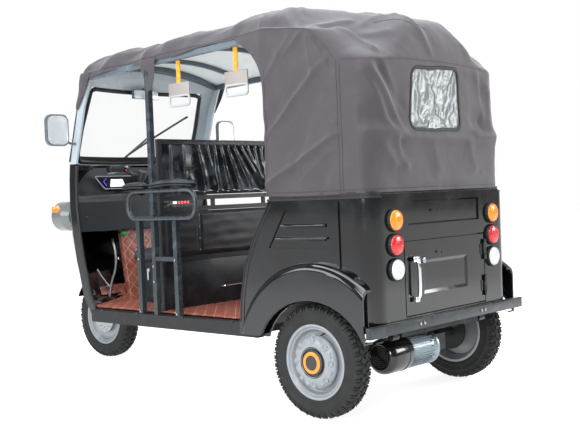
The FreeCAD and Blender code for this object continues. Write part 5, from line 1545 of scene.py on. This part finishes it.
def cushion(name, low, high, soft, crown, pinch, seams, finish, slot, nodes_replaced=(), upright=False):
    """A crowned pad whose sides pull in between its corners, piped round its face and sewn across."""
    low, high = Vector(low), Vector(high)
    middle, half = (low + high) / 2, (high - low) / 2
    face, depth = (1, 2) if upright else (2, 1)
    out = -1 if upright else 1

    def shaped(p):
        q = Vector([(p[i] - middle[i]) / half[i] for i in range(3)])
        across, down = q.x, q[depth]
        bulge = (1 - across ** 4) * (1 - down ** 4)
        front = ease(q[face] * out, -0.2, 1.0)
        p[face] += out * crown * bulge * front
        p.x -= math.copysign(pinch * (1 - down * down) * abs(across) ** 3, across)
        p[depth] -= math.copysign(pinch * (1 - across * across) * abs(down) ** 3, down)
        for at in seams:
            gap = (p.x - middle.x) / half.x - at
            p[face] -= out * 0.010 * math.exp(-(gap * half.x / 0.010) ** 2) * front * (1 - down ** 8)
        p[face] += out * 0.0016 * noise.noise(Vector(p) * 14) * front
        return p
    pad = block(low, high, soft, 4)
    finish_with(pad, "SUBSURF", levels=5, render_levels=5, subdivision_type="SIMPLE")
    for vertex in pad.data.vertices:
        vertex.co = shaped(vertex.co.copy())
    puffed(pad, 0.004)
    put(pad, name, finish, slot=slot, stands_for=nodes_replaced, angle=70)
    inset, near, far = soft * 0.42, low[depth], high[depth]
    corners = [(low.x, near), (high.x, near), (high.x, far), (low.x, far)]
    line = [Vector((p.x, low.y + inset, p.y) if upright else (p.x, p.y, high.z - inset))
            for p in dense(rounded(corners, soft * 1.2), 0.02, True)]
    line = [p + (middle - p) * (inset * 0.9 / (middle - p).length) for p in line]
    line = [shaped(p) for p in line]
    put(tube(line, 0.0032, closed=True), name + "_piping", finish, slot=slot, angle=60)


cushion("driver_cushion", (-0.281, -0.556, 0.637), (0.281, -0.164, 0.700), 0.024, 0.010, 0.007,
        (-0.34, 0.34), SEATING, "black_vinyl", ("driver_seat",))
cushion("bench_seat", (-0.369, 0.704, 0.652), (0.369, 1.126, 0.735), 0.026, 0.012, 0.008,
        (-0.6, -0.2, 0.2, 0.6), SEATING, "black_vinyl", ("bench_cushions",))
cushion("bench_back", (-0.369, 1.138, 0.745), (0.369, 1.228, 1.176), 0.026, 0.010, 0.008,
        (-0.6, -0.2, 0.2, 0.6), SEATING, "black_vinyl", upright=True)


REST_X = 0.548


def arm_rest(name, low_y, high_y, hump):
    """A padded rest in two layers: a soft top on a firmer base, bowed over the hoop."""
    rows_top, rows_low, steps = [], [], 30
    turn = [math.tau * i / 24 for i in range(24)]
    for k in range(steps + 1):
        t = k / steps
        y = low_y + (high_y - low_y) * t
        end = 1 - (2 * t - 1) ** 6
        lift = hump * math.sin(math.pi * t)
        width = 0.0265 * (0.72 + 0.28 * end)
        top = 1.0745 + lift - (1 - end) * 0.016
        rows_top.append([Vector((REST_X + width * math.cos(a), y, 1.0595 + lift
                                 + (top - 1.0595 - lift) * max(-0.25, math.sin(a)))) for a in turn])
        width *= 0.90
        rows_low.append([Vector((REST_X + width * math.cos(a), y + (0.5 - t) * 0.012,
                                 1.0495 + lift * 0.9 + 0.0075 * math.sin(a))) for a in turn])
    soft = surface("soft", rows_top, close_v=True, caps=True)
    firm = surface("firm", rows_low, close_v=True, caps=True)
    put(soft, name, SEATING, slot="black_vinyl", angle=50)
    put(firm, name + "_base", GRAINED, slot="black_vinyl", angle=50)


arm_rest("arm_rest_front", -0.250, -0.070, 0.004)
arm_rest("arm_rest_rear", -0.034, 0.302, 0.011)
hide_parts("arm_pads")


# ---------------- rear lamps, hatch and body trim
LAMP_X, LAMP_Y, BACKWARDS = 0.397, 1.3990, (0, 1, 0)
TAIL_LAMPS = ((0.858, AMBER, "amber"), (0.752, RED, "red"), (0.646, WHITE, "clear"))


def tail_lamps():
    """Domed lenses with a ribbed rim in rubber bezels, amber over red over clear."""
    for z, finish, name in TAIL_LAMPS:
        parts = []
        for x in (LAMP_X, -LAMP_X):
            centre = (x, LAMP_Y, z)
            dome = lathe([(0.0, 0.0165), (0.012, 0.0162), (0.022, 0.0152), (0.033, 0.0128),
                          (0.0400, 0.0098), (0.0440, 0.0060), (0.0450, 0.0), (0.0450, -0.004),
                          (0.0, -0.004)], centre, BACKWARDS, 64)
            parts.append(dome)
            parts += [ring(Vector(centre) + Vector((0, out, 0)), BACKWARDS, r, 0.0011, 64)
                      for r, out in ((0.0400, 0.0097), (0.0270, 0.0144), (0.0130, 0.0161))]
        put(join("lens", parts), "tail_lens_" + name, finish, slot=name, stands_for=(name + "_lenses",),
            angle=50)
    bezel = [(0.0448, -0.009), (0.0452, 0.0035), (0.0462, 0.0052), (0.0478, 0.0048), (0.0492, 0.0020),
             (0.0500, -0.004), (0.0503, -0.009)]
    bezels = [lathe(bezel, (x, LAMP_Y, z), BACKWARDS, 64)
              for x in (LAMP_X, -LAMP_X) for z, _, _ in TAIL_LAMPS]
    put(join("bezels", bezels), "tail_bezels", SEAL, stands_for=("tail_lamp_rings",), angle=50)


def hatch_fittings():
    """The chrome pull with its mounts, the round lock, the hinges' knuckles and the panel's studs."""
    pull = tube([(0.262, 1.402, 0.676), (0.262, 1.412, 0.674), (0.260, 1.4165, 0.655),
                 (0.259, 1.4175, 0.60), (0.260, 1.4165, 0.53), (0.262, 1.412, 0.512),
                 (0.262, 1.402, 0.508)], 0.0085, smooth_run=True, sides=12)
    head = block((0.238, 1.401, 0.668), (0.287, 1.413, 0.694), 0.005, 3)
    foot = block((0.246, 1.401, 0.492), (0.278, 1.409, 0.516), 0.005, 3)
    boss = drum((0.262, 1.404, 0.681), (0.262, 1.4175, 0.681), 0.0105, 28, 0.0025)
    put(join("pull", [pull, head, foot, boss]), "hatch_pull", CHROME, "hatch", "chrome",
        ("hatch_handle",), 50)
    blue = drum((0.250, 1.412, 0.681), (0.250, 1.4185, 0.681), 0.0045, 20, 0.001)
    put(blue, "hatch_key_cap", enamel("blue_key_cap", "#1f5fa8", "#163f70", 0.3), "hatch")
    lock = drum((0.205, 1.400, 0.672), (0.205, 1.409, 0.672), 0.0125, 32, 0.002)
    slot = block((0.2042, 1.4085, 0.666), (0.2058, 1.4095, 0.678), 0.0003, 1)
    put(join("lock", [lock, slot]), "hatch_lock", STEEL, "hatch")
    knuckles = [drum((-0.321, 1.3963, z), (-0.321, 1.3963, z + 0.050), 0.0080, 20, 0.001)
                for z in (0.478, 0.668)]
    put(join("knuckles", knuckles), "hatch_knuckles", SATIN, "hatch")
    for name, body, x, z in (("rear_panel_stud", CHASSIS, 0.075, 0.889),
                             ("hatch_stud", "hatch", 0.06, 0.700)):
        put(drum((x, 1.402, z), (x, 1.4075, z), 0.0055, 16, 0.0015), name, SEAL, body)


def arch_lips():
    """The rolled edge of each wheel arch, and the beads down the front edge of the body side."""
    skin = node_skin("body_sides")
    lips, steps, inside_arch = [], 60, (0.612, 1.078, 0.345)
    for side in (1, -1):
        points = []
        for k in range(steps + 1):
            a = math.radians(2 + 176 * k / steps)
            out = Vector((0, math.cos(a), math.sin(a)))
            hit = skin.ray_cast(Vector((side * inside_arch[0], *inside_arch[1:])), out, 0.5)[0]
            if hit is not None:
                points.append(Vector((side * 0.6125, hit.y, hit.z)))
        lips.append(tube(points, 0.0042, sides=9))
    put(join("lips", lips), "arch_lips", BLACK, angle=50)
    beads, steps, foot, tall = [], 55, 0.395, 0.55
    for side in (1, -1):
        for inset in (0.006, 0.026):
            points = []
            for k in range(steps + 1):
                z = foot + tall * k / steps
                hit = skin.ray_cast(Vector((side * 0.556, 0.30, z)), Vector((0, 1, 0)), 0.9)[0]
                if hit is not None:
                    points.append(Vector((side * 0.5605, hit.y + inset, z)))
            if len(points) > 8:
                beads.append(tube(points, 0.0030, sides=6))
    put(join("beads", beads), "side_edge_beads", BLACK, angle=50)


def louvres():
    """Two long pressed ribs in each side recess."""
    skin, ribs = node_skin("body_sides"), []
    for z, y0, y1 in ((0.846, 0.905, 1.135), (0.790, 0.880, 1.150)):
        hit = skin.ray_cast(Vector((0.70, (y0 + y1) / 2, z)), Vector((-1, 0, 0)), 0.3)[0]
        x = hit.x if hit is not None else 0.556
        for side in (1, -1):
            ends = ((x - 0.002, y0), (x + 0.0015, y0 + 0.02), (x + 0.0015, y1 - 0.02), (x - 0.002, y1))
            ribs.append(tube([(side * out, y, z) for out, y in ends], 0.0052, sides=12))
    put(join("ribs", ribs), "side_louvre_ribs", BLACK, angle=50)


def front_lenses():
    """The lenses of the front lamps, parted from those of the back."""
    for name, finish in (("amber_lenses", AMBER), ("clear_lenses", WHITE)):
        node = nodes[name]
        piece = bpy.data.objects.new("front_" + name, node.data.copy())
        bpy.context.scene.collection.objects.link(piece)
        piece.data.transform(node.matrix_world)
        faces_where(piece, lambda c, n: c.y > 0)
        bpy.ops.mesh.delete(type="FACE")
        done()
        put(piece, "front_" + name, finish, slot=name[:5], angle=40)


tail_lamps()
front_lenses()
hatch_fittings()
arch_lips()
louvres()


# ---------------- dash, controls and windscreen
def dash_fittings():
    """The instruments, vents, switches, lamps and speaker of the dash, and what hangs below it."""
    def face(x, z):
        """A point on the dash's leaning instrument face."""
        return Vector((x, -0.9045 - (z - 1.046) * 0.26 + 0.0325, z))
    middle_x, middle_z, share_wide, share_high = 0.03, 1.098, 0.94, 0.86
    corners = [(0.208, 1.060), (-0.140, 1.060), (-0.200, 1.136), (0.262, 1.136)]
    outline = [face(p.x, p.y) for p in dense(rounded(corners, 0.012), 0.02, True)]
    put(tube(outline, 0.0036, closed=True, sides=9), "cluster_rim", GREY_PLASTIC, slot="gloss_plastic")
    inner = [face(share_wide * (p.x - middle_x) + middle_x, (p.y - middle_z) * share_high + middle_z)
             for p in rounded(corners, 0.012)]
    pane = surface("pane", [[face(middle_x, middle_z)] * len(inner), inner], close_v=True)
    finish_with(pane, "WELD", merge_threshold=0.0002)
    put(pane, "cluster_pane", GLOSS_PLASTIC, angle=30)
    screen = surface("screen", [[face(0.165, 1.072), face(0.050, 1.072)],
                                [face(0.150, 1.118), face(0.062, 1.118)]])
    for vertex in screen.data.vertices:
        vertex.co.y += 0.0012
    display = Finish("lit_display", "#dfe8ff", 0.3, Emission_Color=(0.75, 0.83, 1.0, 1),
                     Emission_Strength=0.75)
    put(screen, "cluster_display", display.ready(), angle=0)
    bars = tube([face(0.190, 1.078), face(0.205, 1.105), face(0.182, 1.124)], 0.0022)
    violet = Finish("violet_indicator", "#3a3fd0", 0.3, Emission_Color=(0.1, 0.12, 0.9, 1),
                    Emission_Strength=0.8)
    put(bars, "cluster_bars", violet.ready())
    slats = [block((x0, -0.7935, z), (x1, -0.777, z + 0.0035), 0.001, turn=((1, 0, 0), -24))
             for x0, x1 in ((0.250, 0.440), (-0.440, -0.250)) for z in (0.992, 1.000, 1.008)]
    put(join("slats", slats), "dash_vents", GLOSS_PLASTIC)
    knob = lathe([(0.0, 0.012), (0.018, 0.012), (0.028, 0.007), (0.032, 0.010), (0.038, 0.010),
                  (0.041, 0.004), (0.041, -0.004)], (-0.205, -0.7660, 0.918), (0, 1, 0.10), 48)
    put(knob, "dash_speaker", GLOSS_PLASTIC, angle=40)
    shelf = block((-0.40, -0.775, 0.945), (-0.15, -0.762, 0.974), 0.004)
    put(shelf, "dash_switch_bar", GLOSS_PLASTIC)
    for name, code, glow, xs in (
            ("red", "#ff4058", (1.0, 0.10, 0.15, 1), (-0.275, -0.300, -0.325, -0.350)),
            ("white", "#e8fff4", (0.8, 1.0, 0.9, 1), (-0.232, -0.248))):
        lit = Finish(name + "_indicator_lamp", code, 0.3, Emission_Color=glow, Emission_Strength=0.9)
        lamps = [block((x - 0.008, -0.763, 0.953), (x + 0.008, -0.7595, 0.967), 0.002) for x in xs]
        put(join("lamps", lamps), "dash_lamps_" + name, lit.ready())
    screw = drum((0.428, -0.768, 0.900), (0.428, -0.7635, 0.900), 0.006, 16, 0.0015)
    put(repeated(screw, moves=[(-0.856, 0, 0)]), "dash_screws", STEEL)
    knob = drum((0.156, -0.800, 0.789), (0.156, -0.770, 0.789), 0.013, 24, 0.004)
    put(knob, "green_knob", enamel("green_knob_plastic", "#1e8a3c", "#145c28", 0.3))
    put(tube([(0.156, -0.830, 0.800), (0.156, -0.800, 0.790)], 0.005), "green_knob_stalk", SATIN)
    bar = tube([(0.215, -0.815, 0.760), (0.232, -0.790, 0.742), (0.238, -0.765, 0.700),
                (0.242, -0.750, 0.640), (0.258, -0.745, 0.570), (0.292, -0.748, 0.500),
                (0.298, -0.755, 0.430)], 0.0075, smooth_run=True, sides=9)
    put(bar, "hand_brake_bar", STEEL)
    pedal = [tube([(0.345, -0.800, 0.590), (0.330, -0.785, 0.540), (0.290, -0.765, 0.485)], 0.0055,
                  smooth_run=True),
             block((0.268, -0.772, 0.470), (0.312, -0.752, 0.482), 0.003, turn=((1, 0, 0), -18))]
    put(join("pedal", pedal), "brake_pedal", STEEL)


def windscreen_fittings():
    """The black seal round the glass, and the wiper parked across it."""
    skin = node_skin("windscreen_glass")

    def on_glass(x, z, off, exact=False):
        """A point on the glass or off it; beyond its edge the nearest one, or none if exact."""
        hit = skin.ray_cast(Vector((x, -0.40, z)), Vector((0, -1, 0)), 0.8)[0]
        if hit is None and not exact:
            hit = skin.find_nearest(Vector((x, -0.80, z)))[0]
        return Vector((hit.x, hit.y + off, hit.z)) if hit is not None else None
    corners = [(0.434, 1.222), (-0.434, 1.222), (-0.434, 1.630), (0.434, 1.630)]
    points = [on_glass(p.x, p.y, 0.001, True) for p in dense(rounded(corners, 0.07), 0.02, True)]
    points = [p for p in points if p is not None]
    put(tube(points, 0.0125, closed=True, sides=12), "windscreen_seal", SEAL)
    band = grid("band", 60, 3, lambda u, v: on_glass(0.43 - 0.86 * u, 1.226 + 0.028 * v, 0.0045))
    put(band, "windscreen_band", SEAL)
    run = [on_glass(-0.012 - 0.148 * t, 1.236 + 0.139 * t, 0.0) for t in (0, 0.25, 0.5, 0.75, 1)]
    arm = tube([p - Vector((0, 0.020, 0)) for p in run], 0.0065, sides=9)
    blade_run = [on_glass(-0.030 - 0.350 * k / 12, 1.262 + 0.241 * k / 12, 0.0) for k in range(13)]
    blade = swept("blade", [p - Vector((0, 0.012, 0)) for p in blade_run],
                  [(-0.002, -0.009), (0.002, -0.009), (0.007, 0.002), (0.005, 0.008), (-0.005, 0.008),
                   (-0.007, 0.002)], up=(0, 1, 0))
    put(join("wiper", [arm, blade]), "wiper", SEAL)


def bar_controls():
    """Ribbed rubber grips, brake levers, and switch pods with a blue and a red button each."""
    grips, levers, pods, buttons = [], [], [], {"blue": [], "red": []}
    for side in (1, -1):
        end, inner = Vector((side * 0.286, -0.721, 1.1745)), Vector((side * 0.176, -0.7345, 1.1745))
        axis = (end - inner).normalized()
        outline = [(0.0172, 0.0)]
        for k in range(12):
            at = 0.004 + k * 0.0088
            outline += [(0.0190, at), (0.0196, at + 0.002), (0.0190, at + 0.005), (0.0176, at + 0.0062)]
        outline += [(0.0200, 0.111), (0.0205, 0.114), (0.0165, 0.1165), (0.0, 0.1170)]
        grips.append(lathe(outline, inner, axis, 28))
        root = inner - axis * 0.014
        levers.append(tube([root + Vector((0, -0.018, -0.012)),
                            root + axis * 0.05 + Vector((0, -0.036, -0.024)),
                            root + axis * 0.112 + Vector((0, -0.030, -0.028))], 0.0045,
                           smooth_run=True, sides=9))
        pods.append(block(root - Vector((0.024, 0.019, 0.022)), root + Vector((0.024, 0.021, 0.023)),
                          0.006, 3))
        for name, up in (("blue", 0.008), ("red", -0.009)):
            spot = root + Vector((0.006 * side, 0.0205, up))
            buttons[name].append(drum(spot, spot + Vector((0, 0.005, 0)), 0.0060, 20, 0.0015))
    put(join("grips", grips), "bar_grips", SEAL, "steering", angle=50)
    put(join("levers", levers), "brake_levers", STEEL, "steering")
    put(join("pods", pods), "switch_pods", GLOSS_PLASTIC, "steering")
    for name, code in (("blue", "#2f7fe0"), ("red", "#e0303a")):
        put(join("buttons", buttons[name]), "switch_buttons_" + name,
            enamel(name + "_switch_button", code, code, 0.3), "steering")


def roof_lining_sheet():
    """The pale lining, following the roof's arch under the cloth, its front corners rounded off."""
    skin, half = node_skin("roof_lining"), 0.486

    def spot(u, v):
        x = half * (1 - 2 * u)
        front = -0.765 + 0.135 * abs(1 - 2 * u) ** 5
        y = front + (0.655 - front) * v
        hit = skin.ray_cast(Vector((x, max(y, -0.755), 1.50)), Vector((0, 0, 1)), 0.5)[0]
        z = hit.z if hit is not None else 1.694 + 0.106 * (1 - (x / half) ** 2)
        cloth = canopy_skin.ray_cast(Vector((x, y, 1.62)), Vector((0, 0, 1)), 0.5)[0]
        if cloth is not None:
            z = min(z, cloth.z - 0.009)
        return Vector((x, y, z + 0.0006 * noise.noise(Vector((x * 9, y * 9, 0)))))
    sheet = grid("lining", 60, 80, spot)
    size = thickened(sheet, 0.003, 0.0)
    put(sheet, "roof_lining_sheet", LINING, slot="lining", stands_for=("roof_lining",), angle=50)


def pillar_seals():
    """The black rubber down the cowl's door edge, and up the outer corner of each pillar."""
    seals, out_share, ahead_share = [], 0.674, 0.739
    upper, lower = node_skin("windscreen_frame"), node_skin("front_cowl")
    edge_steps, corner_steps, depth_steps = 39, 25, 49
    for side in (1, -1):
        edge, corner = [], []
        for k in range(edge_steps + 1):
            z = 0.395 + 0.80 * k / edge_steps
            hit = lower.ray_cast(Vector((side * 0.494, 0.3, z)), Vector((0, -1, 0)), 1.5)[0]
            if hit is not None and hit.y < -0.4 and (not edge or abs(hit.y - edge[-1].y) < 0.05):
                edge.append(Vector((side * 0.496, hit.y + 0.002, z)))
        for k in range(corner_steps + 1):
            z = 1.20 + 0.48 * k / corner_steps
            best = None
            for j in range(depth_steps + 1):
                y = -0.98 + 0.42 * j / depth_steps
                hit = upper.ray_cast(Vector((side, y, z)), Vector((-side, 0, 0)), 1.0)[0]
                if hit is not None:
                    reach = out_share * abs(hit.x) - ahead_share * y
                    if best is None or reach > best[0]:
                        best = (reach, hit)
            if best is not None:
                corner.append(best[1])
        for _ in range(12):
            inner = [(a + b * 2 + c) / 4 for a, b, c in zip(corner, corner[1:], corner[2:])]
            corner = [corner[0], *inner, corner[-1]]
        seals.append(tube(edge, 0.0085, sides=9))
        seals.append(tube(corner[::3], 0.0065, smooth_run=True, sides=9))
    put(join("seals", seals), "front_shell_seals", SEAL, angle=60)


roof_lining_sheet()
pillar_seals()
dash_fittings()
windscreen_fittings()
bar_controls()


# ---------------- grips, bolts and small fittings
def hanging_grips():
    """Amber webbing with eyelets, a blank plate and a loop to hold."""
    x, wide, long = 0.483, 0.026, 0.142
    for index, y in enumerate((0.144, 0.557)):
        top = rail_top(y)
        strap = []
        for off in (0.0028, -0.0028):
            def spot(u, v):
                wave = off * (1 - 0.4 * v) + 0.0006 * math.sin(v * 14)
                return Vector((x + wave, y + (u - 0.5) * wide, top + 0.001 - long * v))
            strap.append(grid("strap", 6, 24, spot))
        webbing = join("webbing", strap)
        size = thickened(webbing, 0.0014, 0.0)
        put(webbing, "grip_strap_%d" % index, STRAP, slot="strap", angle=60)
        eyes = [ring((x + 0.0042, y, top - at), (1, 0, 0), 0.0045, 0.0012, 24)
                for at in (0.045, 0.085, 0.118)]
        put(join("eyes", eyes), "grip_eyelets_%d" % index, STEEL)
        plate = block((x - 0.005, y - 0.078, top - 0.212), (x + 0.004, y + 0.078, top - 0.139), 0.0035, 3)
        put(plate, "grip_plate_%d" % index, PLATE, slot="white_plastic")
        low, high, near, far = top - 0.256, top - 0.206, y - 0.074, y + 0.074
        corners = [(near, low), (far, low), (far, high), (near, high)]
        loop = [(x, p.x, p.y) for p in dense(rounded(corners, 0.018), 0.012, True)]
        put(tube(loop, 0.0062, closed=True, sides=12), "grip_loop_%d" % index, WHITE_PLASTIC,
            slot="white_plastic")
    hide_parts("grip_straps")
    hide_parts("grip_plates")


def post_bolts():
    """Hexagon heads on the door posts, the sill's clips, the rails' bolts and the seat box's lever."""
    heads = [drum((0.533, y, z), (0.5405, y, z), 0.0065, 6, 0.0012)
             for y, z in ((-0.172, 0.675), (-0.172, 0.400), (0.118, 0.675), (0.118, 0.400),
                          (-0.052, 0.640), (-0.052, 0.560))]
    put(join("heads", heads), "post_bolts", STEEL)
    clips = [block((0.538, y - 0.010, 0.384), (0.547, y + 0.010, 0.394), 0.002)
             for y in (-0.50, -0.20, 0.16, 0.52)]
    put(join("clips", clips), "sill_clips", SATIN)
    pins = [drum((x, y, rail_top(y) - 0.030), (x, y, rail_top(y) - 0.022), 0.006, 12, 0.002)
            for x in (0.500, -0.500) for y in (-0.45, -0.25, -0.05, 0.15, 0.35, 0.55)]
    put(join("pins", pins), "rail_bolts", SEAL)
    lever = [drum((0.2510, -0.443, 0.585), (0.2575, -0.443, 0.585), 0.012, 24, 0.003),
             block((0.2530, -0.452, 0.530), (0.2590, -0.438, 0.585), 0.003)]
    put(join("lever", lever), "seat_box_lever", WHITE_PLASTIC)


hanging_grips()
post_bolts()
